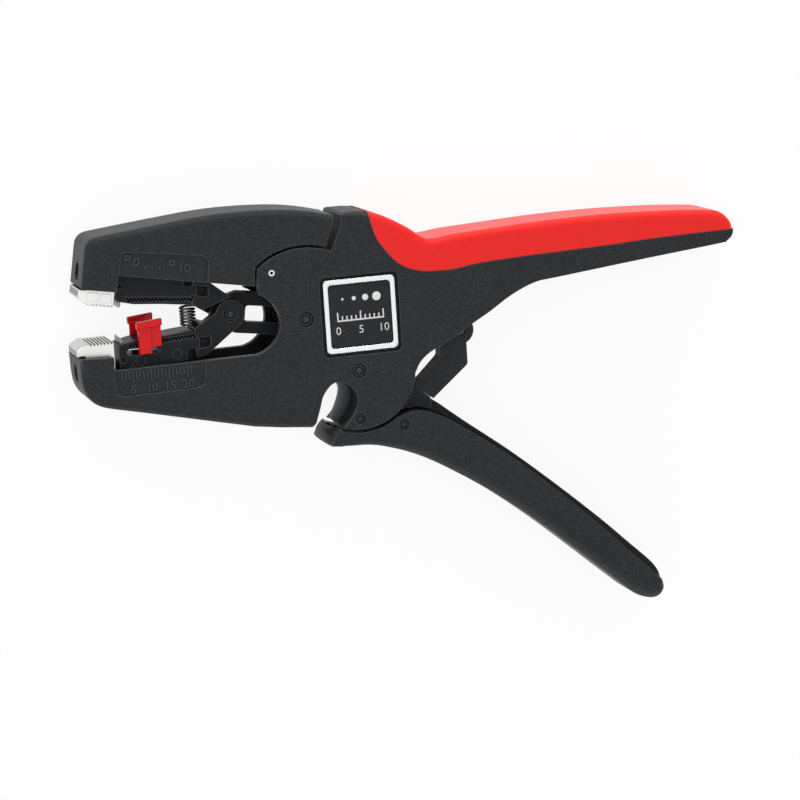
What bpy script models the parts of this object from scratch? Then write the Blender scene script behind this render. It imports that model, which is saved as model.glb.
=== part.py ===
"""Automatic wire stripper with open jaws, modelled lying flat on its far shell.

X runs from the jaws towards the handle ends, Y runs across the tool in its plane
and Z rises from the far shell to the near shell. The origin lies on the outer face
of the far shell, between the jaw pivot and the handle pivot. Sizes are millimetres
in this file and become metres when a mesh is made.
"""
import math

import bmesh
import bpy
from mathutils import Matrix, Vector

MM = 0.001

# Thickness of the tool and its layers along Z
BODY_T = 20.0
WALL = 2.2
PART_GAP = 0.1
CLEAR = 0.25
EAR_Z = (2.5, 4.4)
GEAR_Z = (4.2, 7.9)
BAR_Z = (8.5, 11.5)
BLADE_W = 8.4
ARM_SIDE = 0.8
ARM_Z = ((BODY_T - BLADE_W) / 2 - ARM_SIDE, (BODY_T + BLADE_W) / 2 + ARM_SIDE)
EYE_GAP = 0.3
UPPER_EYE_Z = (ARM_Z[0], BAR_Z[0] - EYE_GAP)
LOWER_EYE_Z = (BAR_Z[1] + EYE_GAP, ARM_Z[1])
CORE_Z = (6.0, 14.0)
BOSS_Z = (6.0, 16.4)
ELBOW_Z = (11.9, 16.4)
TANG_Z = (12.9, 15.4)
STOP_Z = (3.1, 4.6)
CLAMP_Z = (3.0, 17.0)
FIXED_BLADE_Z = (10.2, 12.2)
MOVING_BLADE_Z = (8.1, 10.0)

# Pivots in the plane of the tool
JAW_PIVOT = (-11.4, 6.9)
HANDLE_PIVOT = (2.6, -8.9)
ARM_PIVOT = (-31.4, 9.8)
ROCKER_PIVOT = (12.0, -2.0)
HOUSING_RIVET = (2.1, -22.4)
HANDLE_RIVET = (14.5, -25.3)
ROLL_PIN = (-20.2, 20.6)
ELBOW_END = (33.2, -1.1)

# Motion limits that the shapes are drawn around
HANDLE_SWING = 38.0
JAW_SWING = 10.0
BAR_TRAVEL = 12.5
BAR_TILT = math.degrees(math.atan2(ARM_PIVOT[1] - JAW_PIVOT[1], JAW_PIVOT[0] - ARM_PIVOT[0]))
ARM_TILT = -2.3
NOSE_R = 4.9

# Pins and screws
JAW_PIN_R = 2.0
HANDLE_PIN_R = 1.9
RIVET_R = 1.4
ARM_PIN_R = 1.8
ROCKER_PIN_R = 1.5
ROLL_PIN_R = 0.9
SCREW_R = 2.2

# Housing
JAW_ARC_R = 19.8
BULGE_R = 16.4
WINDOW_CENTRE = (-27.3, 7.0)
WINDOW_R = 8.5
CHANNEL_TOP_Y = -1.7
CHANNEL_FLOOR_Y = -4.8
FRONT_X = -74.5
CLAMP_REAR_X = -64.6
CLAMP_SEAT = 1.8
CLAMP_OVERHANG = 0.3
OUTER_ROUND = 2.0

# Upper jaw, in the frame that has X along the channel when the jaws are closed
JAW_GAP_R = 20.7
JAW_FRONT_X = -62.8
JAW_CHANNEL_Y = 8.0
JAW_LIP_Y = 3.5
JAW_ROUND = 2.0

# Gear pair between handle and rocker
GEAR_DISTANCE = math.dist(HANDLE_PIVOT, ROCKER_PIVOT)
HANDLE_TEETH = 18
ROCKER_TEETH = 12
MODULE = 2 * GEAR_DISTANCE / (HANDLE_TEETH + ROCKER_TEETH)
ROCKER_SWING = HANDLE_SWING * HANDLE_TEETH / ROCKER_TEETH
ROCKER_ARM = BAR_TRAVEL / (2 * math.sin(math.radians(ROCKER_SWING / 2)))
GEAR_BACKLASH = 0.16

# Blade holders
HOLDER_FRONT = -31.6
BLADE_T = 0.7
RACK_PITCH = 1.0
RACK_TEETH = 20
SERRATION_PITCH = 1.0
SPRING_R = 2.3
SPRING_WIRE = 0.34
SPRING_TURNS = 6
SPRING_X = -11.0
SPRING_HALF = 2.8

for old in list(bpy.data.objects):
    bpy.data.objects.remove(old, do_unlink=True)

SCENE = bpy.context.scene


def finish(name, colour, roughness, metallic=0.0):
    """Make a plain surface finish with a linear RGB colour."""
    material = bpy.data.materials.new(name)
    material.use_nodes = True
    shader = material.node_tree.nodes["Principled BSDF"]
    shader.inputs["Base Color"].default_value = (*colour, 1.0)
    shader.inputs["Roughness"].default_value = roughness
    shader.inputs["Metallic"].default_value = metallic
    return material


CHARCOAL = finish("charcoal_nylon", (0.028, 0.029, 0.032), 0.62)
DARK = finish("dark_nylon", (0.018, 0.018, 0.02), 0.55)
RED = finish("red_grip", (0.78, 0.028, 0.024), 0.45)
STOP_RED = finish("red_slider", (0.68, 0.012, 0.014), 0.4)
NICKEL = finish("satin_nickel", (0.62, 0.61, 0.58), 0.3, 1.0)
SILVER = finish("silver_border", (0.72, 0.72, 0.72), 0.28, 1.0)
BLADE = finish("blade_steel", (0.42, 0.42, 0.43), 0.32, 1.0)
BLACK_STEEL = finish("black_oxide_steel", (0.05, 0.05, 0.055), 0.42, 1.0)
SPRING_STEEL = finish("spring_steel", (0.45, 0.45, 0.45), 0.3, 1.0)
PLATE = finish("badge_plate", (0.022, 0.023, 0.025), 0.5)


def polar(centre, radius, angle):
    """Point at an angle in degrees around a centre."""
    turn = math.radians(angle)
    return (centre[0] + radius * math.cos(turn), centre[1] + radius * math.sin(turn))


def arc(centre, radius, start, end, step=6.0):
    """Points of an arc from a start angle to an end angle in degrees."""
    count = max(2, math.ceil(abs(end - start) / step))
    return [polar(centre, radius, start + (end - start) * i / count) for i in range(count + 1)]


def curve(stations, steps=4):
    """Smooth open curve that passes through every station."""
    ends = [stations[0]] + list(stations) + [stations[-1]]
    points = []
    for i in range(1, len(ends) - 2):
        a, b, c, d = (Vector(p) for p in ends[i - 1:i + 3])
        for k in range(steps):
            t = k / steps
            point = 0.5 * (2 * b + (c - a) * t + (2 * a - 5 * b + 4 * c - d) * t * t
                           + (3 * b - a - 3 * c + d) * t ** 3)
            points.append(tuple(point))
    return points + [tuple(stations[-1])]


def rounded(corners, step=15.0):
    """Closed outline whose corners (x, y, radius) are blended by tangent arcs."""
    outline = []
    for i, (x, y, radius) in enumerate(corners):
        if radius <= 0:
            outline.append((x, y))
            continue
        here = Vector((x, y))
        before = Vector(corners[i - 1][:2]) - here
        after = Vector(corners[(i + 1) % len(corners)][:2]) - here
        half = before.angle(after) / 2
        back = radius / math.tan(half)
        start = here + before.normalized() * back
        end = here + after.normalized() * back
        middle = here + (before.normalized() + after.normalized()).normalized() * radius / math.sin(half)
        first = math.degrees(math.atan2(*(start - middle).yx))
        last = math.degrees(math.atan2(*(end - middle).yx))
        sweep = (last - first + 180) % 360 - 180
        outline += arc(middle, radius, first, first + sweep, step)
    return outline


def box(x0, y0, x1, y1, radius=0.0):
    """Rectangle with equally rounded corners."""
    return rounded([(x0, y0, radius), (x1, y0, radius), (x1, y1, radius), (x0, y1, radius)])


def circle(centre, radius, count=40):
    """Full circle as an outline."""
    return [polar(centre, radius, 360 * i / count) for i in range(count)]


def capsule(start, end, radius):
    """Outline of a slot with two round ends."""
    angle = math.degrees(math.atan2(end[1] - start[1], end[0] - start[0]))
    return arc(end, radius, angle - 90, angle + 90, 9) + arc(start, radius, angle + 90, angle + 270, 9)


def edges_of(*stretches):
    """Test for the rim edges that lie on the given stretches of an outline."""
    middles = [((a[0] + b[0]) / 2, (a[1] + b[1]) / 2) for s in stretches for a, b in zip(s, s[1:])]
    return lambda x, y: any(math.dist((x, y), middle) < 0.06 for middle in middles)


def tidy(outline):
    """Drop repeated points and run the outline anticlockwise."""
    points = []
    for point in outline:
        if not points or math.dist(point, points[-1]) > 0.02:
            points.append((point[0], point[1]))
    if math.dist(points[0], points[-1]) < 0.02:
        points.pop()
    area = sum(a[0] * b[1] - b[0] * a[1] for a, b in zip(points, points[1:] + points[:1]))
    return points if area > 0 else points[::-1]


def place(name, mesh, material, axis=None, pivot=(0.0, 0.0)):
    """Put a mesh in the scene, on an axis empty or on a pivot in the plane."""
    obj = bpy.data.objects.new(name, mesh)
    SCENE.collection.objects.link(obj)
    if material is not None:
        mesh.materials.append(material)
    if axis is not None:
        obj.parent = axis
    else:
        obj.location = (pivot[0] * MM, pivot[1] * MM, 0.0)
    return obj


def shade(mesh, angle=32.0):
    """Smooth the round faces and keep the real edges sharp and the flat faces flat."""
    mesh.shade_smooth()
    mesh.set_sharp_from_angle(angle=math.radians(angle))
    sharp = {edge.key for edge in mesh.edges if edge.use_edge_sharp}
    for face in mesh.polygons:
        if abs(face.normal.z) > 0.9999 or all(key in sharp for key in face.edge_keys):
            face.use_smooth = False


def prism(name, outline, z_range, material=None, axis=None, pivot=(0.0, 0.0), soft=None, radius=0.0,
          segments=3, rims=(True, True)):
    """Extrude an outline between two heights and round the chosen rim edges."""
    points = tidy(outline)
    shift = (0.0, 0.0) if axis is not None else pivot
    work = bmesh.new()
    low, high = z_range
    floor = [work.verts.new(((x - shift[0]) * MM, (y - shift[1]) * MM, low * MM)) for x, y in points]
    face = work.faces.new(floor[::-1])
    grown = bmesh.ops.extrude_face_region(work, geom=[face])
    top = [v for v in grown["geom"] if isinstance(v, bmesh.types.BMVert)]
    bmesh.ops.translate(work, vec=(0.0, 0.0, (high - low) * MM), verts=top)
    bmesh.ops.recalc_face_normals(work, faces=work.faces)
    if soft is not None:
        chosen = []
        for edge in work.edges:
            a, b = (v.co for v in edge.verts)
            if abs(a.z - b.z) > 1e-7:
                continue
            level = a.z / MM
            if not ((rims[0] and abs(level - low) < 1e-4) or (rims[1] and abs(level - high) < 1e-4)):
                continue
            middle = (a + b) / 2 / MM
            if soft(middle.x + shift[0], middle.y + shift[1]):
                chosen.append(edge)
        bmesh.ops.bevel(work, geom=chosen, offset=radius * MM, segments=segments, profile=0.5,
                        affect="EDGES", clamp_overlap=False)
    mesh = bpy.data.meshes.new(name)
    work.to_mesh(mesh)
    work.free()
    shade(mesh)
    return place(name, mesh, material, axis, pivot)


def moved_in(points, amounts):
    """Move each point of a closed outline inwards by its own amount."""
    area = sum(a[0] * b[1] - b[0] * a[1] for a, b in zip(points, points[1:] + points[:1]))
    sense = 1 if area > 0 else -1
    moved = []
    for i, (x, y) in enumerate(points):
        along = Vector(points[(i + 1) % len(points)]) - Vector(points[i - 1])
        inward = Vector((-along.y, along.x)).normalized() * amounts[i] * sense
        moved.append((x + inward.x, y + inward.y))
    return moved


def rounded_prism(name, outline, rim, drops, z_range, material, axis, levels=5):
    """Extrude an outline whose two faces are bounded by a smaller rim.

    Each point rounds over to its rim point, over the given depth below the face.
    """
    work = bmesh.new()
    rings = []
    turns = [math.pi / 2 * k / levels for k in range(levels + 1)]
    for side, order in ((0, turns[::-1]), (1, turns)):
        for turn in order:
            ring = []
            for (x, y), (rim_x, rim_y), drop in zip(outline, rim, drops):
                part = 1 - math.cos(turn)
                sunk = drop * (1 - math.sin(turn))
                level = z_range[1] - sunk if side else z_range[0] + sunk
                ring.append(work.verts.new(((x + (rim_x - x) * part) * MM, (y + (rim_y - y) * part) * MM,
                                            level * MM)))
            rings.append(ring)
    work.faces.new(rings[0])
    work.faces.new(rings[-1])
    for lower, upper in zip(rings, rings[1:]):
        for i in range(len(outline)):
            k = (i + 1) % len(outline)
            work.faces.new((lower[i], lower[k], upper[k], upper[i]))
    bmesh.ops.recalc_face_normals(work, faces=work.faces)
    mesh = bpy.data.meshes.new(name)
    work.to_mesh(mesh)
    work.free()
    shade(mesh, 40)
    return place(name, mesh, material, axis)


def lathe(name, profile, centre, material, axis=None, direction="Z", count=40):
    """Turn a closed (radius, height) profile around a line through the centre."""
    work = bmesh.new()
    rings = []
    for radius, height in profile:
        if radius < 1e-6:
            rings.append([work.verts.new((0.0, 0.0, height * MM))])
        else:
            rings.append([work.verts.new((radius * MM * math.cos(2 * math.pi * i / count),
                                          radius * MM * math.sin(2 * math.pi * i / count),
                                          height * MM)) for i in range(count)])
    pairs = list(zip(rings, rings[1:]))
    if profile[0][0] > 1e-6:
        pairs.append((rings[-1], rings[0]))
    for lower, upper in pairs:
        for i in range(count):
            k = (i + 1) % count
            ring = [lower[i % len(lower)], lower[k % len(lower)],
                    upper[k % len(upper)], upper[i % len(upper)]]
            unique = list(dict.fromkeys(ring))
            if len(unique) > 2:
                work.faces.new(unique)
    bmesh.ops.recalc_face_normals(work, faces=work.faces)
    if direction == "X":
        lying = Matrix.Rotation(math.radians(90), 3, "Y")
        bmesh.ops.rotate(work, cent=(0, 0, 0), matrix=lying, verts=work.verts)
    place_at = Vector((centre[0] * MM, centre[1] * MM, (centre[2] if len(centre) > 2 else 0.0) * MM))
    if axis is not None:
        bmesh.ops.translate(work, vec=place_at, verts=work.verts)
    mesh = bpy.data.meshes.new(name)
    work.to_mesh(mesh)
    work.free()
    shade(mesh)
    obj = place(name, mesh, material, axis)
    if axis is None:
        obj.location = place_at
    return obj


def tool(obj):
    """Mark an object as a shaping tool that is no piece of the product."""
    obj.hide_render = True
    obj.display_type = "WIRE"
    return obj


def cut(obj, *tools, operation="DIFFERENCE"):
    """Shape an object with one exact boolean for each tool."""
    for shape in tools:
        tool(shape)
        step = obj.modifiers.new(shape.name, "BOOLEAN")
        step.operation = operation
        step.solver = "EXACT"
        step.object = shape
    return obj


def add(obj, *tools):
    """Grow an object by the volume of each tool."""
    return cut(obj, *tools, operation="UNION")


def axis_empty(name, pivot, angle=0.0):
    """Empty on a joint's axis, turned to the rest angle of what it carries."""
    empty = bpy.data.objects.new(name, None)
    SCENE.collection.objects.link(empty)
    empty.location = (pivot[0] * MM, pivot[1] * MM, 0.0)
    empty.rotation_euler = (0.0, 0.0, math.radians(angle))
    return empty


JAW_AXIS = axis_empty("upper_jaw_axis", JAW_PIVOT, -JAW_SWING)
BAR_AXIS = axis_empty("draw_bar_line", ARM_PIVOT, -BAR_TILT)
LOWER_ARM_AXIS = axis_empty("lower_arm_axis", ARM_PIVOT)
UPPER_ARM_AXIS = axis_empty("upper_arm_axis", ARM_PIVOT, ARM_TILT)


# Housing halves
GRIP_EDGE = [(8.0, 34.9)] + curve([(8.45, 32.2), (9.9, 27.4), (12.3, 23.6), (15.2, 20.2), (18.8, 18.0),
                                   (23.6, 16.8), (31.0, 16.6), (39.3, 17.6), (55.0, 18.3), (76.3, 18.9),
                                   (92.4, 19.6), (115.0, 20.0)])
UNDERSIDE = curve([(115.0, 20.0), (114.5, 18.2), (112.8, 16.8), (110.6, 16.3), (86.7, 14.0), (62.0, 11.5),
                   (55.1, 10.7), (48.1, 7.9), (41.5, 3.9), (36.6, 1.2), (29.0, -3.1), (23.4, -5.8),
                   (20.3, -8.3), (18.6, -11.3)])
NOTCH = curve([(-2.8, -24.4), (-0.9, -22.4), (0.8, -19.9), (1.7, -17.2), (1.4, -14.8), (-0.3, -12.7),
               (-3.0, -11.4), (-5.6, -12.0), (-8.0, -14.7), (-9.0, -17.6), (-10.5, -22.0)])
HOUSING = (
    [(FRONT_X, 1.9), (FRONT_X + 0.4, 2.3), (-65.4, 2.0), (-65.4, CHANNEL_TOP_Y)]
    + arc(WINDOW_CENTRE, WINDOW_R, -80, 69)
    + arc(JAW_PIVOT, JAW_ARC_R, 130, 65.3, 4.0)
    + [(0.1, 31.7), (0.5, 34.6), (1.2, 35.2), (5.0, 35.2)]
    + GRIP_EDGE + UNDERSIDE
    + arc(HANDLE_PIVOT, BULGE_R, -14, -108, 5.0)
    + NOTCH
    + [(-11.6, -23.5), (-20.1, -22.6), (-27.6, -21.5), (-39.4, -18.7)]
    + curve([(-57.0, -14.5), (-66.0, -12.4), (-69.4, -11.4), (-71.8, -9.9), (-73.4, -7.8), (-74.2, -5.4),
             (FRONT_X, -2.6)])
)


def housing_soft(x, y):
    """Edges of the housing that carry the large outer fillet."""
    top = y > 34.95 and x > 1.1
    front = x < -70.0 and y < 1.8
    bottom = x < -12.5 and y < -9.0
    return top or front or bottom


CAVITY = [(-66.0, 60.0), (-66.0, CHANNEL_FLOOR_Y), (-46.0, CHANNEL_FLOOR_Y), (-45.0, -8.0), (-28.0, -8.0),
          (-22.0, -14.5), (-14.5, -17.0), (-14.5, -60.0), (28.0, -60.0), (28.0, -1.0), (26.5, 1.0),
          (26.5, 14.3), (19.0, 15.4), (13.4, 18.6), (10.2, 22.6), (-3.6, 22.6), (-3.6, 60.0)]
SWEEP = arc(HANDLE_PIVOT, 18.4, -16, 64) + arc(HANDLE_PIVOT, 36.5, 64, -16)
CLAMP_POCKET = box(FRONT_X + CLAMP_SEAT - CLEAR, -7.3, -62.0, 12.0)
BADGE = box(-7.1, -4.5, 15.3, 17.9, 1.6)
SCALE_PANEL = rounded([(-65.6, 0.0, 0), (-65.4, -9.0, 2.4), (-41.0, -8.6, 2.4), (-40.1, 0.0, 0)])


def pin_holes(label, z_range, scale=0.12):
    """Holes in a housing half for every pin that passes through it."""
    return [
        prism(label + "_jaw_hole", circle(JAW_PIVOT, JAW_PIN_R + scale), z_range),
        prism(label + "_handle_hole", circle(HANDLE_PIVOT, HANDLE_PIN_R + scale), z_range),
        prism(label + "_rivet_hole", circle(HOUSING_RIVET, RIVET_R + scale), z_range),
        prism(label + "_roll_hole", circle(ROLL_PIN, ROLL_PIN_R + scale, 24), z_range),
    ]


MID = BODY_T / 2
housing_near = prism("housing_near", HOUSING, (MID + PART_GAP / 2, BODY_T), CHARCOAL, soft=housing_soft,
                     radius=OUTER_ROUND, rims=(False, True))
housing_far = prism("housing_far", HOUSING, (0.0, MID - PART_GAP / 2), CHARCOAL, soft=housing_soft,
                    radius=OUTER_ROUND, rims=(True, False))
NOTCH_RIM = 1.2
notch_ring = moved_in(NOTCH + [(-12.0, -26.0)], [-NOTCH_RIM] * len(NOTCH) + [0.0])
near_cavity = prism("near_cavity", CAVITY, (5.0, BODY_T - WALL))
cut(near_cavity, prism("notch_wall", notch_ring, (FIXED_BLADE_Z[1] + 0.3, BODY_T)))
cut(housing_near,
    near_cavity,
    prism("near_clamp_pocket", CLAMP_POCKET, (5.0, 17.3)),
    prism("near_elbow_sweep", SWEEP, (ELBOW_Z[0] - 0.4, ELBOW_Z[1] + 0.4)),
    prism("badge_recess", BADGE, (BODY_T - 1.2, BODY_T + 2)),
    prism("scale_recess", SCALE_PANEL, (BODY_T - 0.4, BODY_T + 2)),
    *pin_holes("near", (5.0, BODY_T + 2)))
cut(housing_far,
    prism("far_cavity", CAVITY, (WALL, 15.0)),
    prism("far_clamp_pocket", CLAMP_POCKET, (2.7, 15.0)),
    prism("rocker_seat", circle(ROCKER_PIVOT, ROCKER_PIN_R + 0.12), (1.1, 5.0)),
    *pin_holes("far", (-2.0, 15.0)))
lathe_front = [(0.0, -2.0), (SCREW_R + 0.4, -2.0), (SCREW_R + 0.4, 2.0), (1.3, 2.0), (1.3, 6.0), (0.0, 6.0)]
screw_low = (FRONT_X, -2.7, MID)
cut(housing_near, lathe("near_screw_bore", lathe_front, screw_low, None, direction="X"))
cut(housing_far, lathe("far_screw_bore", lathe_front, screw_low, None, direction="X"))

# Red grip on the upper handle
GRIP_LOW = [(x + 0.05, y + 0.14) for x, y in GRIP_EDGE]
GRIP_TOP = curve([GRIP_LOW[0], (12.2, 33.4), (15.5, 31.7), (19.6, 29.2), (24.0, 26.1), (27.5, 25.7),
                  (33.0, 26.3), (45.2, 26.9), (58.9, 27.5), (76.0, 27.7), (93.7, 27.1), (106.0, 26.2),
                  (111.0, 25.4), (113.6, 23.6), (114.9, 21.6), (115.1, 20.25)])
upper_grip = prism("upper_grip", GRIP_TOP + GRIP_LOW[:0:-1], (0.0, BODY_T), RED, soft=edges_of(GRIP_TOP),
                   radius=OUTER_ROUND, segments=4)
cut(upper_grip, prism("grip_elbow_sweep", SWEEP, (ELBOW_Z[0] - 0.4, ELBOW_Z[1] + 0.4)))

# Badge without any lettering
badge_frame = prism("badge_frame", box(-6.1, -3.5, 14.4, 17.0, 1.3), (BODY_T - 1.1, BODY_T - 0.1), SILVER)
cut(badge_frame, prism("badge_opening", box(-4.7, -2.1, 13.0, 15.6, 1.0), (BODY_T - 3, BODY_T + 3)))
prism("badge_plate", box(-4.6, -2.0, 12.9, 15.5, 0.9), (BODY_T - 1.1, BODY_T - 0.35), PLATE)


# Pins that join the housing halves
def headed_pin(name, centre, radius, low, high, material, axis=None):
    """Rivet with a shallow ring pressed into both ends."""
    ring = radius * 0.66
    lathe(name, [(0.0, low), (ring, low), (ring + 0.15, low + 0.15), (ring + 0.3, low), (radius, low + 0.1),
                 (radius, high - 0.1), (ring + 0.3, high), (ring + 0.15, high - 0.15), (ring, high),
                 (0.0, high)],
          centre, material, axis)


headed_pin("jaw_pivot_pin", JAW_PIVOT, JAW_PIN_R, 0.15, BODY_T - 0.15, BLACK_STEEL)
headed_pin("handle_pivot_pin", HANDLE_PIVOT, HANDLE_PIN_R, 0.15, BODY_T - 0.15, BLACK_STEEL)
headed_pin("housing_rivet", HOUSING_RIVET, RIVET_R, 0.15, BODY_T - 0.15, BLACK_STEEL)
lathe("housing_roll_pin", [(0.4, 0.15), (ROLL_PIN_R, 0.15), (ROLL_PIN_R, BODY_T - 0.1), (0.4, BODY_T - 0.1)],
      ROLL_PIN, NICKEL, count=24)
lathe("rocker_pivot_pin", [(0.0, 1.2), (ROCKER_PIN_R, 1.2), (ROCKER_PIN_R, GEAR_Z[1] + 0.3),
                           (0.0, GEAR_Z[1] + 0.3)], ROCKER_PIVOT, BLACK_STEEL)


# Clamping jaws of serrated steel
def serrations(start, end, level, depth, sign):
    """Zigzag along a clamping face, one tooth for each pitch."""
    count = int(abs(end - start) / SERRATION_PITCH)
    step = (end - start) / count
    points = []
    for i in range(count):
        points += [(start + step * i, level), (start + step * (i + 0.5), level - sign * depth)]
    return points + [(end, level)]


LOWER_SEAT_X = FRONT_X + CLAMP_SEAT
LOWER_CLAMP = ([(LOWER_SEAT_X, -7.0), (LOWER_SEAT_X, 2.6), (FRONT_X - CLAMP_OVERHANG, 2.6),
                (FRONT_X - CLAMP_OVERHANG, 4.4), (-72.4, 5.75)]
               + serrations(-72.0, CLAMP_REAR_X, 5.75, 0.35, 1) + [(CLAMP_REAR_X, -7.0)])
lower_clamp = prism("lower_clamp_jaw", LOWER_CLAMP, CLAMP_Z, NICKEL)
clamp_bore = [(0.0, -0.5), (SCREW_R + 0.25, -0.5), (SCREW_R + 0.25, 0.3), (1.15, 1.4), (1.15, 5.0),
              (0.0, 5.0)]
cut(lower_clamp, lathe("lower_clamp_bore", clamp_bore, (LOWER_SEAT_X, -2.7, MID), None, direction="X"))

UPPER_SEAT_X = JAW_FRONT_X + CLAMP_SEAT
UPPER_CLAMP = ([(UPPER_SEAT_X, 10.0), (UPPER_SEAT_X, 3.2), (JAW_FRONT_X - CLAMP_OVERHANG, 3.2),
                (JAW_FRONT_X - CLAMP_OVERHANG, 0.8), (-60.2, -0.9)]
               + serrations(-59.8, -53.2, -0.9, 0.35, -1)
               + [(-53.2, 3.2), (-54.6, 5.5), (-54.6, 10.0)])
upper_clamp = prism("upper_clamp_jaw", UPPER_CLAMP, CLAMP_Z, NICKEL, JAW_AXIS)
cut(upper_clamp, lathe("upper_clamp_bore", clamp_bore, (UPPER_SEAT_X, 7.4, MID), None, JAW_AXIS, "X"))


def clamp_screw(name, x, y, axis=None):
    """Countersunk screw that holds a clamping jaw from the front."""
    lathe(name, [(0.0, 0.7), (0.6, 0.7), (0.6, 0.2), (SCREW_R - 0.2, 0.2), (SCREW_R, 0.4), (SCREW_R, 0.9),
                 (1.0, 1.9), (1.0, 5.6), (0.0, 5.6)], (x, y, MID), BLACK_STEEL, axis, "X")


clamp_screw("lower_clamp_screw", LOWER_SEAT_X - 0.7, -2.7)

# Upper jaw, hollow below and hinged on two inner ears
JAW_TOP = curve([(-58.4, 18.3), (-43.0, 22.7), (-30.0, 26.2), (-19.4, 28.2), (-9.5, 29.4), (-2.0, 29.6),
                 (4.9, 29.15)])
JAW_OUTLINE = (
    JAW_TOP + [(3.3, 20.6)]
    + arc((0.0, 0.0), JAW_GAP_R, 80.5, 141.0, 4.0)
    + [(-15.3, JAW_CHANNEL_Y), (-53.3, JAW_CHANNEL_Y), (-53.3, JAW_LIP_Y), (JAW_FRONT_X + 0.3, JAW_LIP_Y)]
    + rounded([(JAW_FRONT_X, JAW_LIP_Y + 0.3, 0), (JAW_FRONT_X, 16.9, 3.6), (-58.4, 18.3, 0)])[:-1]
)


def jaw_soft(x, y):
    """Front and top edges of the upper jaw."""
    rear = x > 3.4 and y < 28.5
    return x < JAW_FRONT_X + 0.2 or (y > 14.5 and not rear and math.hypot(x, y) > JAW_GAP_R + 1.5)


upper_jaw = prism("upper_jaw", JAW_OUTLINE, (0.0, BODY_T), CHARCOAL, JAW_AXIS, soft=jaw_soft,
                  radius=JAW_ROUND, segments=4)
EAR = (arc((0.0, 0.0), 5.6, 190, 360, 8.0) + [(5.2, 3.0), (3.1, JAW_GAP_R + 0.9)]
       + arc((0.0, 0.0), JAW_GAP_R + 0.9, 82, 114, 6.0) + [(-5.2, 4.0)])
FRONT_HOLLOW = [(-53.3, -9.0), (-53.3, 16.6), (-43.0, 20.2), (-30.0, 23.8), (-27.0, 24.6), (-27.0, -9.0)]
REAR_HOLLOW = [(-28.0, -9.0), (-28.0, 24.2), (-19.4, 25.8), (-9.5, 27.0), (-2.0, 27.0), (1.4, 26.6),
               (0.6, -9.0)]
cut(upper_jaw,
    prism("jaw_front_hollow", FRONT_HOLLOW, (WALL, BODY_T - WALL), axis=JAW_AXIS),
    prism("jaw_rear_hollow", REAR_HOLLOW, (EAR_Z[1], BODY_T - EAR_Z[1]), axis=JAW_AXIS),
    prism("jaw_clamp_pocket", box(UPPER_SEAT_X - CLEAR, 0.0, -50.0, 10.3), (2.7, 17.3), axis=JAW_AXIS),
    prism("jaw_panel", rounded([(-53.0, 7.0, 0), (-53.0, 14.5, 2.0), (-29.0, 15.3, 2.2), (-28.5, 7.0, 0)]),
          (BODY_T - 0.4, BODY_T + 2), axis=JAW_AXIS),
    lathe("jaw_screw_bore", lathe_front, (JAW_FRONT_X, 7.4, MID), None, JAW_AXIS, "X"))
add(upper_jaw,
    prism("jaw_ear_far", EAR, EAR_Z, axis=JAW_AXIS),
    prism("jaw_ear_near", EAR, (BODY_T - EAR_Z[1], BODY_T - EAR_Z[0]), axis=JAW_AXIS))
cut(upper_jaw, prism("jaw_ear_bore", circle((0.0, 0.0), JAW_PIN_R + CLEAR), (1.0, 19.0), axis=JAW_AXIS))
clamp_screw("upper_clamp_screw", UPPER_SEAT_X - 0.7, 7.4, JAW_AXIS)


# Draw bar between the blade arms, in the frame that has X along its travel
def bar_point(point):
    """Turn a point of the tool plane into the draw bar's own frame."""
    turned = Matrix.Rotation(math.radians(BAR_TILT), 2) @ (Vector(point) - Vector(ARM_PIVOT))
    return (turned.x, turned.y)


REST_ANGLE = 90 - BAR_TILT + ROCKER_SWING / 2
YOKE = bar_point(polar(ROCKER_PIVOT, ROCKER_ARM, REST_ANGLE))
YOKE_TOP = bar_point(polar(ROCKER_PIVOT, ROCKER_ARM, 90 - BAR_TILT))[1]
SLOT_END = bar_point(JAW_PIVOT)[0]
BAR = (
    arc((0.0, 0.0), NOSE_R, 235, 120, 8.0) + [(2.2, 6.1), (17.0, 6.1), (26.0, 6.1)]
    + rounded([(26.0, 6.1, 0), (YOKE[0] - 4.4, YOKE_TOP + 4.0, 2.5), (YOKE[0] + 4.2, YOKE_TOP + 4.0, 2.5),
               (YOKE[0] + 4.2, -2.0, 2.5), (27.0, -5.5, 2.0), (2.6, -5.5, 1.5), (-1.0, -4.8, 0)])[1:-1]
)
draw_bar = prism("draw_bar", BAR, BAR_Z, DARK, BAR_AXIS)
cut(draw_bar,
    prism("bar_slot", rounded([(SLOT_END - BAR_TRAVEL - JAW_PIN_R - 0.8, -JAW_PIN_R - CLEAR, 0.8),
                               (SLOT_END + JAW_PIN_R + 0.5, -JAW_PIN_R - CLEAR, 1.8),
                               (SLOT_END + JAW_PIN_R + 0.5, JAW_PIN_R + CLEAR, 1.8),
                               (SLOT_END - BAR_TRAVEL - JAW_PIN_R - 0.8, JAW_PIN_R + CLEAR, 0.8)]),
          (5.0, 15.0), axis=BAR_AXIS),
    prism("bar_yoke", box(YOKE[0] - ROCKER_PIN_R - 0.3, YOKE[1] - ROCKER_PIN_R - 0.6,
                          YOKE[0] + ROCKER_PIN_R + 0.3, YOKE_TOP + ROCKER_PIN_R + 0.6, 1.2),
          (5.0, 15.0), axis=BAR_AXIS),
    prism("bar_eye", circle((0.0, 0.0), ARM_PIN_R + 0.15), (5.0, 15.0), axis=BAR_AXIS))
headed_pin("arm_pivot_pin", (0.0, 0.0), ARM_PIN_R, ARM_Z[0] + 0.1, ARM_Z[1] + 0.2, BLACK_STEEL, BAR_AXIS)

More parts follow.
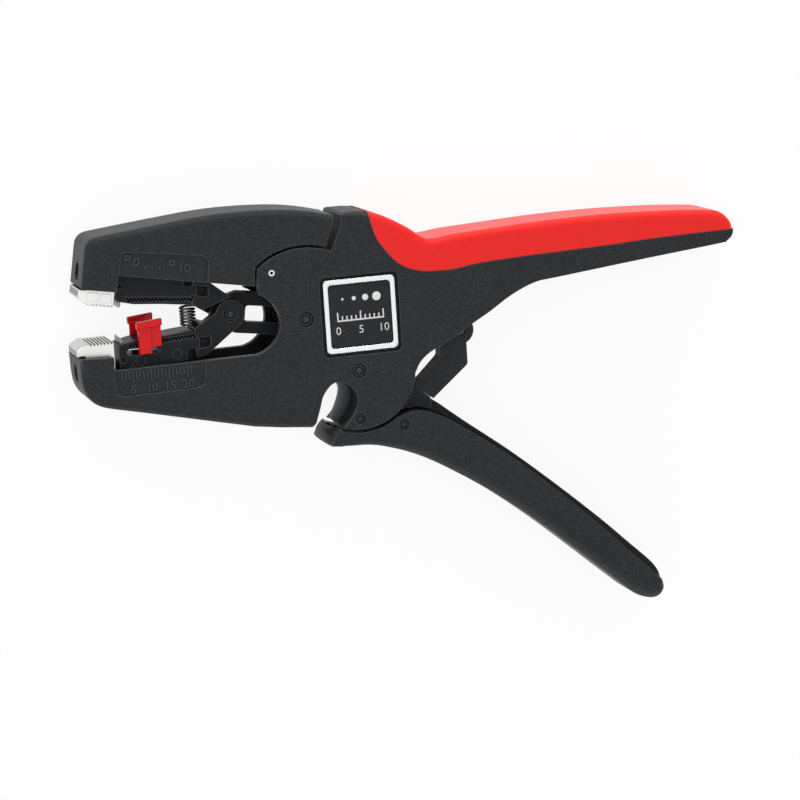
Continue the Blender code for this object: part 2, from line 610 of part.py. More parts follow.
# Blade arms and their plug-in holders, drawn once and mirrored for the upper side
ARM_TOP_ANGLE = 211.6
ARM_LOW_ANGLE = 216.2
ARM_HALF = 4.0
ARM_TOP_HALF = 2.8
ARM_SWING = 14.8
HAND_X = -10.4
HAND_TOP = -3.0
MOUTH_DEPTH = 4.4
MOUTH_TOP = -5.45
MOUTH_LOW = -8.6
FOOT_LOW = -10.9
POCKET = 2.0


def flip(outline, side):
    """Mirror an outline across the arm line for the upper side."""
    return [(x, y * side) for x, y in outline]


def blade_arm(name, side, axis, eye_z):
    """Arm with a half-lapped eye on the pivot and a hand whose mouth grips a holder."""
    shoulder = ARM_TOP_ANGLE - 90 + math.degrees(math.acos(ARM_TOP_HALF / ARM_HALF))
    outline = arc((0.0, 0.0), ARM_HALF, ARM_LOW_ANGLE - 270, shoulder, 9.0) + [
        (HAND_X + 0.1, HAND_TOP), (HAND_X - 0.15, HAND_TOP - 1.2), (HAND_X + 0.3, MOUTH_TOP),
        (HAND_X + MOUTH_DEPTH, MOUTH_TOP + 0.05), (HAND_X + MOUTH_DEPTH - 0.15, MOUTH_LOW + 0.4),
        (HAND_X, MOUTH_LOW), (HAND_X + 0.25, FOOT_LOW), (HAND_X + 3.0, FOOT_LOW + 0.4),
        (HAND_X + 4.9, FOOT_LOW + 1.8)]
    arm = prism(name, flip(outline, side), ARM_Z, DARK, axis)
    seat = SPRING_R + 0.3
    other = 360 - ARM_LOW_ANGLE + ARM_SWING
    edge = Vector(polar((0.0, 0.0), ARM_HALF + 0.4, other + 90))
    run = Vector(polar((0.0, 0.0), 4 * ARM_HALF, other))
    depth = Vector(polar((0.0, 0.0), 5 * ARM_HALF, other - 90))
    window = [tuple(edge + run), tuple(edge - run), tuple(edge - run + depth), tuple(edge + run + depth)]
    if eye_z[0] > ARM_Z[0]:
        cut(arm, prism(name + "_lap", flip(window, side), (0.0, eye_z[0]), axis=axis))
    if eye_z[1] < ARM_Z[1]:
        cut(arm, prism(name + "_lap", flip(window, side), (eye_z[1], BODY_T), axis=axis))
    cut(arm,
        prism(name + "_bore", circle((0.0, 0.0), ARM_PIN_R + 0.15), (0.0, BODY_T), axis=axis),
        prism(name + "_nose", circle((0.0, 0.0), NOSE_R + 0.35), (BAR_Z[0] - CLEAR, BAR_Z[1] + CLEAR),
              axis=axis),
        prism(name + "_seat", flip(box(SPRING_X - seat, -SPRING_HALF - 0.2, SPRING_X + seat, 2.0), side),
              (MID - seat, MID + seat), axis=axis))
    return arm


def rack_groove(side):
    """Outline of the toothed groove along a holder's face."""
    points = [(-29.0, -5.9)]
    for i in range(RACK_TEETH):
        x = -29.0 + RACK_PITCH * i
        rise = 0.06 * i
        points += [(x + 0.5 * RACK_PITCH, -6.7 + rise), (x + RACK_PITCH, -5.9 + rise)]
    end = points[-1]
    return flip(points + [(end[0], end[1] + 0.5), (-29.0, -5.1)], side)


def blade_holder(name, side, axis):
    """Moulded holder with blade slot, slider slot, rack and keyed socket."""
    tongue = HAND_X + MOUTH_DEPTH - 0.35
    body = rounded([(HOLDER_FRONT, -12.2, 0.6), (HOLDER_FRONT, -5.4, 0.4), (-27.0, -4.4, 0), (-19.2, -4.0, 0),
                    (HAND_X - 0.45, HAND_TOP - 0.25, 0.3), (HAND_X - 0.45, MOUTH_TOP - CLEAR, 0),
                    (tongue, MOUTH_TOP - CLEAR, 0.5), (tongue - 0.15, MOUTH_LOW + 0.65, 0.5),
                    (HAND_X - 0.3, MOUTH_LOW + CLEAR, 0), (HAND_X - 0.05, FOOT_LOW - 0.3, 0)])
    holder = prism(name, flip(body, side), ARM_Z, DARK, axis)
    deep = (0.0, BODY_T)
    pin_hole = flip(circle((-30.6, -9.6), 0.8, 24), side)
    pockets = (("tongue_pocket", (HAND_X + 1.2, MOUTH_LOW - 1.0, 0.0, MOUTH_TOP + 1.0)),
               ("foot_pocket", (HAND_X - 2.35, FOOT_LOW - 3.0, 0.0, MOUTH_LOW + CLEAR)))
    blade_slot = box(HOLDER_FRONT + 0.5, -11.0, HOLDER_FRONT + 0.8 + BLADE_T, 0.0)
    half = BLADE_W / 2 + 0.15
    cut(holder,
        *[prism(name + "_" + label, flip(box(*bounds, 0.5), side), layer, axis=axis)
          for label, bounds in pockets
          for layer in ((0.0, ARM_Z[0] + POCKET), (ARM_Z[1] - POCKET, BODY_T))],
        prism(name + "_rack", rack_groove(side), (ARM_Z[1] - 0.8, BODY_T), axis=axis),
        prism(name + "_near_pin_hole", pin_hole, (ARM_Z[1] - 0.5, BODY_T), axis=axis),
        prism(name + "_far_pin_hole", pin_hole, (0.0, ARM_Z[0] + 0.5), axis=axis),
        prism(name + "_blade_slot", flip(blade_slot, side), (MID - half, MID + half), axis=axis))
    if side > 0:
        slot = capsule((-28.6, -7.6), (-21.2, -7.6), 0.85)
        cut(holder, prism(name + "_slider_slot", slot, deep, axis=axis))
    return holder


def cutting_blade(name, side, axis):
    """Thin blade that stands out of the front of a holder, with a ground edge."""
    x0 = HOLDER_FRONT + 0.65
    outline = [(x0, -10.8), (x0 + BLADE_T, -10.8), (x0 + BLADE_T, -4.3), (x0 + 0.15, -3.5), (x0, -3.7)]
    return prism(name, flip(outline, side), (MID - BLADE_W / 2, MID + BLADE_W / 2), BLADE, axis)


blade_arm("lower_blade_arm", 1, LOWER_ARM_AXIS, LOWER_EYE_Z)
blade_holder("lower_blade_holder", 1, LOWER_ARM_AXIS)
cutting_blade("lower_blade", 1, LOWER_ARM_AXIS)
blade_arm("upper_blade_arm", -1, UPPER_ARM_AXIS, UPPER_EYE_Z)
blade_holder("upper_blade_holder", -1, UPPER_ARM_AXIS)
cutting_blade("upper_blade", -1, UPPER_ARM_AXIS)


# Spring that holds the blade arms apart
def coil(name, x, low, high, material, axis):
    """Closed wire coil that stands along Y."""
    work = bmesh.new()
    ring = 8
    steps = SPRING_TURNS * 20
    mean = SPRING_R - SPRING_WIRE
    previous = None
    for i in range(steps + 1):
        turn = 2 * math.pi * SPRING_TURNS * i / steps
        level = low + (high - low) * i / steps
        centre = Vector((x + mean * math.cos(turn), level, MID + mean * math.sin(turn)))
        out = Vector((math.cos(turn), 0.0, math.sin(turn)))
        loop = []
        for k in range(ring):
            phase = 2 * math.pi * k / ring
            point = centre + SPRING_WIRE * (out * math.cos(phase) + Vector((0.0, 1.0, 0.0)) * math.sin(phase))
            loop.append(work.verts.new(point * MM))
        if previous:
            for k in range(ring):
                m = (k + 1) % ring
                work.faces.new((previous[k], previous[m], loop[m], loop[k]))
        else:
            work.faces.new(loop)
        previous = loop
    work.faces.new(previous[::-1])
    bmesh.ops.recalc_face_normals(work, faces=work.faces)
    mesh = bpy.data.meshes.new(name)
    work.to_mesh(mesh)
    work.free()
    shade(mesh, 50)
    return place(name, mesh, material, axis)


coil("blade_spring", SPRING_X, SPRING_WIRE - SPRING_HALF, SPRING_HALF - SPRING_WIRE + 0.3, SPRING_STEEL,
     LOWER_ARM_AXIS)

# Length stop that rides on the lower holder
STOP_PLATE = rounded([(-26.3, -8.4, 0.5), (-22.8, -8.4, 0.4), (-22.7, -6.6, 0), (-19.9, -6.6, 0.4),
                      (-19.7, 1.1, 0.5), (-26.5, 0.3, 0.5)])
length_stop = prism("length_stop", STOP_PLATE, STOP_Z, STOP_RED, LOWER_ARM_AXIS)
STOP_LIP = rounded([(-26.8, -1.5, 0.3), (-19.6, -0.7, 0.3), (-19.5, 1.3, 0.4), (-26.8, 0.5, 0.4)])
LIP_T = 0.5
add(length_stop,
    prism("stop_far_lip", STOP_LIP, (STOP_Z[0] - LIP_T, STOP_Z[1] - LIP_T), axis=LOWER_ARM_AXIS),
    prism("stop_near_lip", STOP_LIP, (BODY_T - STOP_Z[1] + LIP_T, BODY_T - STOP_Z[0] + LIP_T),
          axis=LOWER_ARM_AXIS),
    prism("stop_near_plate", STOP_PLATE, (BODY_T - STOP_Z[1], BODY_T - STOP_Z[0]), axis=LOWER_ARM_AXIS),
    prism("stop_bar", box(-24.3, -8.2, -22.7, -7.0, 0.3), (STOP_Z[0] + 0.4, BODY_T - STOP_Z[0] - 0.4),
          axis=LOWER_ARM_AXIS))


# Lower handle with its inner core, elbow arm and cutter blade
SHELL_ARC_R = 17.4
HANDLE_TOP = curve([(12.9, -23.1), (16.2, -22.1), (19.3, -22.0), (23.6, -23.4), (31.3, -27.8), (46.4, -39.0),
                    (64.2, -54.8), (82.2, -72.7), (86.4, -76.9)])
HANDLE_LOW = curve([(86.4, -76.9), (89.0, -79.4), (89.7, -82.0), (88.2, -84.2), (85.4, -84.7), (81.4, -83.2),
                    (76.7, -79.3), (56.6, -61.4), (42.3, -49.9), (29.3, -41.0), (18.2, -34.7), (7.0, -30.7),
                    (-1.0, -29.8), (-4.0, -29.6)])
HANDLE_EDGE = 0.25
HANDLE_ROUND = 3.6

# Rounded nose: outline point, matching point of the flat face, depth of the rounding
NOSE = [((-6.2, -29.7), (-5.9, -29.1), 5.0), ((-7.2, -29.0), (-6.6, -28.5), 8.0),
        ((-7.4, -27.7), (-5.9, -27.9), 9.0), ((-7.0, -26.1), (-5.3, -27.0), 9.3),
        ((-6.2, -25.0), (-4.7, -26.3), 9.0), ((-5.2, -24.5), (-4.2, -25.7), 6.0)]


HANDLE_AXIS = axis_empty("handle_axis", HANDLE_PIVOT)


def on_handle(outline):
    """Shift an outline of the tool plane onto the handle's axis."""
    return [(x - HANDLE_PIVOT[0], y - HANDLE_PIVOT[1]) for x, y in outline]


top_run = [(-3.9, -24.7)] + arc(HANDLE_PIVOT, SHELL_ARC_R, -111.4, -54.5, 5.0) + HANDLE_TOP[:-1]
rounding = ([HANDLE_EDGE] * len(top_run)
            + [max(HANDLE_EDGE, HANDLE_ROUND * min(1.0, i / 6, 0.25 + (x + 4.0) / 34))
               for i, (x, y) in enumerate(HANDLE_LOW)])
plain = top_run + HANDLE_LOW
rim = moved_in(plain, rounding)
lower_handle = rounded_prism("lower_handle", on_handle(plain + [n[0] for n in NOSE]),
                             on_handle(rim + [n[1] for n in NOSE]), rounding + [n[2] for n in NOSE],
                             (0.0, BODY_T), CHARCOAL, HANDLE_AXIS)
CORE_TOP = curve([(26.6, -21.6), (33.5, -27.2), (47.0, -37.7), (60.4, -49.2), (72.3, -60.0), (81.0, -68.5),
                  (86.6, -74.0), (88.9, -77.0), (89.8, -79.6), (89.0, -80.8)])
CORE_LOW = curve([(87.4, -80.2), (82.0, -75.0), (60.0, -54.8), (46.0, -43.6), (32.0, -33.2), (20.0, -27.6),
                  (9.5, -27.2)])
CORE = (arc(HANDLE_PIVOT, 17.9, -69, -24, 5.0) + [(19.3, -15.6), (23.7, -19.5)] + CORE_TOP + CORE_LOW)
GROOVE = (arc(HANDLE_PIVOT, 17.0, -75, -20, 5.0)
          + [(40.0, -18.0), (95.0, -66.0), (95.0, -81.2), (88.9, -81.3)]
          + [(x - 0.1, y - 0.3) for x, y in CORE_LOW])

cut(lower_handle,
    prism("handle_groove", on_handle(GROOVE), (CORE_Z[0] - 0.15, CORE_Z[1] + 0.15), axis=HANDLE_AXIS),
    prism("handle_rivet_hole", on_handle(circle(HANDLE_RIVET, RIVET_R + 0.12)), (-2.0, BODY_T + 2),
          axis=HANDLE_AXIS),
    prism("nose_slot", on_handle([(-5.6, -18.0), (-1.0, -18.0), (-2.4, -26.9), (-5.4, -26.3)]),
          (MOVING_BLADE_Z[0] - 0.15, FIXED_BLADE_Z[1] + 0.4), axis=HANDLE_AXIS))

handle_core = prism("handle_core", on_handle(CORE), CORE_Z, DARK, HANDLE_AXIS)
WEB = ([polar(HANDLE_PIVOT, 4.0, -75)] + arc(HANDLE_PIVOT, 17.1, -66, -34, 6.0)
       + [polar(HANDLE_PIVOT, 4.0, -20)])
BOSS = (arc(HANDLE_PIVOT, 17.9, -46, -22, 5.0) + [(19.3, -15.3), (23.5, -19.1), (23.8, -20.4), (23.4, -22.3),
        (20.0, -21.2), (16.4, -21.4)])


def gear_sector(name, centre, teeth, first, last, mesh_angle, tooth_at_mesh, axis, origin):
    """Sector of an involute gear whose teeth cover the angles from first to last."""
    pitch_r = MODULE * teeth / 2
    base_r = pitch_r * math.cos(math.radians(20))
    tip_r = pitch_r + 0.85 * MODULE
    root_r = pitch_r - 1.1 * MODULE
    half_thick = (math.pi * MODULE / 2 - GEAR_BACKLASH) / 2 / pitch_r
    step = 360 / teeth
    offset = 0.0 if tooth_at_mesh else step / 2

    def involute(radius):
        pressure = math.acos(min(1.0, base_r / radius))
        return math.tan(pressure) - pressure

    at_pitch = involute(pitch_r)
    radii = [max(root_r, base_r) + (tip_r - max(root_r, base_r)) * i / 5 for i in range(6)]
    points = []
    low = math.ceil((first - mesh_angle - offset) / step)
    high = math.floor((last - mesh_angle - offset) / step)
    points.append(polar(centre, root_r, first))
    for i in range(low, high + 1):
        middle = mesh_angle + offset + step * i
        spread = [half_thick + at_pitch - involute(r) for r in radii]
        foot = math.degrees(spread[0]) + 1.0
        points.append(polar(centre, root_r, middle - foot))
        points += [polar(centre, r, middle - math.degrees(s)) for r, s in zip(radii, spread)]
        points += [polar(centre, r, middle + math.degrees(s)) for r, s in zip(radii[::-1], spread[::-1])]
        points.append(polar(centre, root_r, middle + foot))
    points.append(polar(centre, root_r, last))
    points.append(centre)
    local = [(x - origin[0], y - origin[1]) for x, y in points]
    return prism(name, local, GEAR_Z, axis=axis)


MESH_ANGLE = math.degrees(math.atan2(ROCKER_PIVOT[1] - HANDLE_PIVOT[1], ROCKER_PIVOT[0] - HANDLE_PIVOT[0]))
add(handle_core,
    prism("core_boss", on_handle(BOSS), BOSS_Z, axis=HANDLE_AXIS),
    prism("core_web", on_handle(WEB), GEAR_Z, axis=HANDLE_AXIS),
    prism("core_web_step", on_handle(arc(HANDLE_PIVOT, 15.6, -64, -36) + arc(HANDLE_PIVOT, 20.0, -36, -62)),
          (CORE_Z[0], GEAR_Z[1]), axis=HANDLE_AXIS),
    prism("core_hub", circle((0.0, 0.0), 5.2), GEAR_Z, axis=HANDLE_AXIS),
    gear_sector("core_gear", HANDLE_PIVOT, HANDLE_TEETH, MESH_ANGLE - HANDLE_SWING - 18, MESH_ANGLE + 18,
                MESH_ANGLE, True, HANDLE_AXIS, HANDLE_PIVOT))
ELBOW_TANG = [(18.4, -17.0), (22.3, -13.6), (24.4, -15.6), (20.4, -19.0)]
cut(handle_core,
    prism("core_bore", circle((0.0, 0.0), HANDLE_PIN_R + 0.15), (0.0, BODY_T), axis=HANDLE_AXIS),
    prism("core_rivet_hole", on_handle(circle(HANDLE_RIVET, RIVET_R + 0.12)), (0.0, BODY_T),
          axis=HANDLE_AXIS),
    prism("core_tang_slot", on_handle([(18.05, -17.0), (22.3, -13.2), (24.9, -15.6), (20.3, -19.4)]),
          (TANG_Z[0] - 0.15, TANG_Z[1] + 0.15), axis=HANDLE_AXIS))
lathe("handle_rivet", [(0.0, 0.15), (RIVET_R, 0.25), (RIVET_R, BODY_T - 0.25), (0.0, BODY_T - 0.15)],
      (HANDLE_RIVET[0] - HANDLE_PIVOT[0], HANDLE_RIVET[1] - HANDLE_PIVOT[1]), BLACK_STEEL, HANDLE_AXIS)

ELBOW = rounded([(35.0, -10.9, 1.4), (24.4, -19.55, 0), (19.43, -15.12, 0), (27.0, -8.0, 1.2),
                 (27.6, -1.0, 3.0), (31.0, 2.6, 2.0), (35.0, 1.5, 1.0)])
elbow_arm = prism("elbow_arm", on_handle(ELBOW), ELBOW_Z, CHARCOAL, HANDLE_AXIS)
add(elbow_arm,
    prism("elbow_end", on_handle(circle(ELBOW_END, 4.1)), ELBOW_Z, axis=HANDLE_AXIS),
    prism("elbow_tang", on_handle(ELBOW_TANG), TANG_Z, axis=HANDLE_AXIS))
cut(elbow_arm, prism("elbow_bore", on_handle(circle(ELBOW_END, 1.9)), (0.0, BODY_T), axis=HANDLE_AXIS))
lathe("elbow_pin", [(0.0, ELBOW_Z[0]), (1.75, ELBOW_Z[0]), (1.75, ELBOW_Z[1] - 0.2), (1.45, ELBOW_Z[1] + 0.1),
                    (0.0, ELBOW_Z[1] + 0.1)],
      (ELBOW_END[0] - HANDLE_PIVOT[0], ELBOW_END[1] - HANDLE_PIVOT[1]), BLACK_STEEL, HANDLE_AXIS)

MOVING_BLADE = [polar(HANDLE_PIVOT, r, a) for r, a in (
    (5.0, 199.0), (8.0, 198.5), (12.0, 205.5), (16.0, 216.5), (17.4, 224.5), (17.8, 229.0),
    (18.6, 228.6), (18.9, 224.0), (19.0, 219.5), (16.0, 203.0), (11.0, 190.0), (5.0, 170.0))]
cutter_moving = prism("cutter_moving_blade", on_handle(MOVING_BLADE), MOVING_BLADE_Z, BLADE, HANDLE_AXIS)
add(cutter_moving, prism("moving_hub", circle((0.0, 0.0), 5.2), MOVING_BLADE_Z, axis=HANDLE_AXIS))
cut(cutter_moving,
    prism("moving_bore", circle((0.0, 0.0), HANDLE_PIN_R + 0.15), (0.0, BODY_T), axis=HANDLE_AXIS))

FIXED_EDGE = curve([(-1.9, -12.9), (-1.5, -15.0), (-2.5, -18.4), (-4.6, -22.6)])
FIXED_BLADE = (FIXED_EDGE + [(-3.4, -23.9)] + [(0.0, -24.6)] + arc(HOUSING_RIVET, 3.0, -120, 20, 12.0)
               + [(3.4, -17.0), (4.6, -12.6), (2.0, -12.2)])
cutter_fixed = prism("cutter_fixed_blade", FIXED_BLADE, FIXED_BLADE_Z, BLADE)
cut(cutter_fixed, prism("fixed_rivet_hole", circle(HOUSING_RIVET, RIVET_R + 0.12), (0.0, BODY_T)))

# Rocker that turns the handle's swing into the draw bar's travel
ROCKER_AXIS = axis_empty("rocker_axis", ROCKER_PIVOT)
rocker_tip = polar((0.0, 0.0), ROCKER_ARM, REST_ANGLE)
rocker = prism("rocker", capsule((0.0, 0.0), rocker_tip, 2.9), GEAR_Z, BLACK_STEEL, ROCKER_AXIS)
add(rocker, gear_sector("rocker_gear", ROCKER_PIVOT, ROCKER_TEETH, MESH_ANGLE + 180 - 26,
                        MESH_ANGLE + 180 + ROCKER_SWING + 26, MESH_ANGLE + 180, False, ROCKER_AXIS,
                        ROCKER_PIVOT),
    prism("rocker_hub", circle((0.0, 0.0), 3.3), GEAR_Z, axis=ROCKER_AXIS))
cut(rocker, prism("rocker_bore", circle((0.0, 0.0), ROCKER_PIN_R + 0.15), (0.0, BODY_T), axis=ROCKER_AXIS),
    prism("rocker_tip_bore", circle(rocker_tip, 1.15, 24), (0.0, BODY_T), axis=ROCKER_AXIS))
lathe("rocker_pin", [(0.0, GEAR_Z[0]), (1.05, GEAR_Z[0]), (1.05, GEAR_Z[1] + 0.15),
                     (ROCKER_PIN_R, GEAR_Z[1] + 0.15), (ROCKER_PIN_R, BAR_Z[1] + 0.2), (0.0, BAR_Z[1] + 0.2)],
      rocker_tip, NICKEL, ROCKER_AXIS, count=28)
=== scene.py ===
"""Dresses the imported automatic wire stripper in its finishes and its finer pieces.

The tool lies on its far shell with the near shell up. Sub-assemblies are drawn in
millimetres in their own frames, and each frame is laid onto the tool by its seat.
"""
import logging
import math
from dataclasses import dataclass, field
from enum import Enum
from typing import Callable, Optional, Sequence, Union

import bmesh
import bpy
from bmesh.types import BMEdge, BMesh, BMFace, BMVert
from bpy.types import Material, Node, NodeSocket, NodeTree, Object
from mathutils import Matrix, Vector


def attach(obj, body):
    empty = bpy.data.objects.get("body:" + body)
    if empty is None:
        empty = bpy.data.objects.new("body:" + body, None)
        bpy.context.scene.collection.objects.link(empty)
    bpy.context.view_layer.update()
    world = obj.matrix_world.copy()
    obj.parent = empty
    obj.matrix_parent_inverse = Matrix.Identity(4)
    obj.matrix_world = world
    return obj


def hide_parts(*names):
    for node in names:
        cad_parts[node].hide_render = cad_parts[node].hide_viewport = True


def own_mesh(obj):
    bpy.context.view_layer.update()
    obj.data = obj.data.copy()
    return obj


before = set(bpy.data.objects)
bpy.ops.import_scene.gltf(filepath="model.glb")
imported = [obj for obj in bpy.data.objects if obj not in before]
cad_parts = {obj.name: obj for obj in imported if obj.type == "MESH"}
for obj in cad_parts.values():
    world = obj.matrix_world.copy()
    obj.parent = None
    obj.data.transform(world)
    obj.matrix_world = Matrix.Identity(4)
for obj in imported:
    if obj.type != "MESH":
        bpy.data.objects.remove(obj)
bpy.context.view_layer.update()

LOG = logging.getLogger("wire_stripper")
MM = 0.001
# Lengths in millimetres: the tool's thickness, the floor and the relief of the moulded
# panels, and how deep the pin heads sit.
BODY_T = 20.0
PANEL_Z = BODY_T - 0.42
PANEL_RELIEF = 0.22
PIN_SINK = 0.15
WELD_MM = 1e-4
# Half profile of a pin head: share of the radius, and height over the face. Then the facets
# round a pin and in the round corner of a box.
PIN_HEAD = ((0.0, -0.05), (0.44, -0.08), (0.5, -0.5), (0.68, -0.5), (0.74, -0.04), (0.8, 0.0),
            (0.9, 0.0), (1.0, -0.25))
PIN_STEPS = 48
CORNER_STEPS = 6
# Clamping teeth: pitch, then the shares of it where the flat ends and the groove starts and ends.
TOOTH_PITCH = 0.95
TOOTH_SHARES = (0.54, 0.66, 0.88)
# Share of the letter size that a digit is high, and the angle that still counts as smooth.
CAP_SHARE = 0.7
SMOOTH_BELOW = 50.0
# Samples of the edge and crevice masks, and the spans that masks and grain stretch to full effect.
EDGE_SAMPLES = 8
CREVICE_SAMPLES = 6
EDGE_SPAN = (0.99, 0.8)
CREVICE_SPAN = (0.35, 0.85)
SPECK_SPAN = (0.38, 0.64)
GLOSS_SPAN = (0.3, 0.7)

Point = tuple[float, float]
SocketValue = Union[float, tuple, NodeSocket]


class Body(Enum):
    """Moving body that a piece rides on."""

    HOUSING = "frame"
    UPPER_JAW = "upper_jaw"
    DRAW_BAR = "draw_bar"
    LOWER_ARM = "lower_arm"
    UPPER_ARM = "upper_arm"
    LENGTH_STOP = "length_stop"
    HANDLE = "handle"


class Lay(Enum):
    """Direction of the lines that a tool left in a metal surface."""

    ALONG_X = (1.0, 0.0, 0.0)
    ALONG_Y = (0.0, 1.0, 0.0)
    ALONG_Z = (0.0, 0.0, 1.0)
    NONE = (0.0, 0.0, 0.0)


@dataclass(frozen=True)
class Seat:
    """Frame of a sub-assembly in the plane of the tool, in millimetres and degrees."""

    x: float = 0.0
    y: float = 0.0
    angle: float = 0.0

    def matrix(self) -> Matrix:
        """Give the matrix from the seat's millimetres to the tool's metres."""
        lay = Matrix.Rotation(math.radians(self.angle), 4, "Z")
        return Matrix.Translation((self.x * MM, self.y * MM, 0.0)) @ lay @ Matrix.Scale(MM, 4)


TOOL_SEAT = Seat()
JAW_SEAT = Seat(-11.4, 6.9, -10.0)
LOWER_ARM_SEAT = Seat(-31.4, 9.8)
UPPER_ARM_SEAT = Seat(-31.4, 9.8, -2.3)


def linear(hex_colour: str) -> tuple[float, float, float, float]:
    """Turn an sRGB hex colour into linear light.

    Args:
        hex_colour: Six hex digits, red first.

    Returns:
        Red, green, blue and an alpha of 1.
    """
    channels = [int(hex_colour[i:i + 2], 16) / 255 for i in (0, 2, 4)]
    red, green, blue = (c / 12.92 if c <= 0.04045 else ((c + 0.055) / 1.055) ** 2.4
                        for c in channels)
    return (red, green, blue, 1.0)


def add_node(tree: NodeTree, kind: str,
             sockets: Optional[dict[Union[int, str], SocketValue]] = None,
             **fields: object) -> Node:
    """Add a node with its settings and its links.

    Args:
        tree: Node tree that gets the node.
        kind: Type name of the node.
        sockets: Input name or number, with a value or the output that feeds it.
        **fields: Settings of the node itself.

    Returns:
        The new node.
    """
    node = tree.nodes.new(kind)
    for key, value in fields.items():
        setattr(node, key, value)
    for key, value in (sockets or {}).items():
        if isinstance(value, NodeSocket):
            tree.links.new(value, node.inputs[key])
        else:
            node.inputs[key].default_value = value
    return node


def blank_material(name: str) -> tuple[Material, NodeTree, Node]:
    """Make a material with an empty node tree and an output.

    Args:
        name: Name of the material.

    Returns:
        The material, its tree and its output node.
    """
    material = bpy.data.materials.new(name)
    material.use_nodes = True
    tree = material.node_tree
    tree.nodes.clear()
    return material, tree, add_node(tree, "ShaderNodeOutputMaterial")


class FinishTree:
    """Node tree of one finish on Object coordinates, with the steps that finishes share."""

    def __init__(self, name: str) -> None:
        """Start an empty material of the given name."""
        self.material, self.tree, self.output = blank_material(name)
        self.place = add_node(self.tree, "ShaderNodeTexCoord").outputs["Object"]

    def stretched(self, scale: tuple[float, ...]) -> NodeSocket:
        """Give the coordinates scaled by a factor for each axis."""
        node = add_node(self.tree, "ShaderNodeMapping", {"Vector": self.place, "Scale": scale})
        return node.outputs[0]

    def noise(self, size_mm: float, detail: float, roughness: float = 0.5,
              place: Optional[NodeSocket] = None) -> NodeSocket:
        """Give a cloudy pattern with clouds of the given size."""
        node = add_node(self.tree, "ShaderNodeTexNoise",
                        {"Vector": self.place if place is None else place,
                         "Scale": 1 / (size_mm * MM), "Detail": detail, "Roughness": roughness})
        return node.outputs["Fac"]

    def ranged(self, value: NodeSocket, span: Point, result: Point) -> NodeSocket:
        """Map a span of values onto another one and hold the result within it."""
        node = add_node(self.tree, "ShaderNodeMapRange",
                        {"Value": value, "From Min": span[0], "From Max": span[1],
                         "To Min": result[0], "To Max": result[1]})
        return node.outputs["Result"]

    def blend(self, share: NodeSocket, first: SocketValue, second: SocketValue) -> NodeSocket:
        """Mix two colours by the share of the second one."""
        node = add_node(self.tree, "ShaderNodeMix", {0: share, 6: first, 7: second},
                        data_type="RGBA")
        return node.outputs[2]

    def scaled(self, colour: NodeSocket, factor: NodeSocket) -> NodeSocket:
        """Multiply a colour by a value."""
        return add_node(self.tree, "ShaderNodeVectorMath", {0: colour, "Scale": factor},
                        operation="SCALE").outputs[0]

    def rounded_edges(self, reach_mm: float) -> tuple[NodeSocket, NodeSocket]:
        """Find how close the surface is to an outer edge.

        Args:
            reach_mm: Radius of the rounded edge.

        Returns:
            The rounded normal and a mask that is 1 on the edge.
        """
        rounded = add_node(self.tree, "ShaderNodeBevel", {"Radius": reach_mm * MM},
                           samples=EDGE_SAMPLES)
        surface = add_node(self.tree, "ShaderNodeNewGeometry")
        facing = add_node(self.tree, "ShaderNodeVectorMath",
                          {0: rounded.outputs[0], 1: surface.outputs["Normal"]},
                          operation="DOT_PRODUCT")
        return rounded.outputs[0], self.ranged(facing.outputs["Value"], EDGE_SPAN, (0.0, 1.0))

    def rubbed(self, colour: NodeSocket, edge: NodeSocket, wear: float, edge_colour: str) -> NodeSocket:
        """Mix the edges towards another colour: wear, with painted highlight where that colour is
        lighter and painted shade where it is darker.
        """
        share = add_node(self.tree, "ShaderNodeMath", {0: edge, 1: wear}, operation="MULTIPLY")
        return self.blend(share.outputs[0], colour, linear(edge_colour))

    def shaded(self, colour: NodeSocket, reach_mm: float, least: float) -> NodeSocket:
        """Paint shade into gaps, grooves and inner corners by darkening the colour.

        Args:
            colour: Colour of the open faces.
            reach_mm: How far away another face may be.
            least: Share of the colour that is left deep in a groove.

        Returns:
            The colour with painted shade.
        """
        near = add_node(self.tree, "ShaderNodeAmbientOcclusion", {"Distance": reach_mm * MM},
                        samples=CREVICE_SAMPLES)
        depth = self.ranged(near.outputs["AO"], CREVICE_SPAN, (0.0, 1.0))
        return self.scaled(colour, self.ranged(depth, (0.0, 1.0), (least, 1.0)))

    def relief(self, height: NodeSocket, depth_mm: float, strength: float,
               normal: NodeSocket) -> NodeSocket:
        """Raise a pattern on the surface and give the new normal."""
        node = add_node(self.tree, "ShaderNodeBump", {"Height": height, "Strength": strength,
                                                      "Distance": depth_mm * MM, "Normal": normal})
        return node.outputs[0]

    def finished(self, sockets: dict[Union[int, str], SocketValue]) -> Material:
        """Close the tree with a shader.

        Args:
            sockets: Inputs of the shader.

        Returns:
            The finished material.
        """
        shader = add_node(self.tree, "ShaderNodeBsdfPrincipled", sockets)
        self.tree.links.new(shader.outputs[0], self.output.inputs["Surface"])
        return self.material


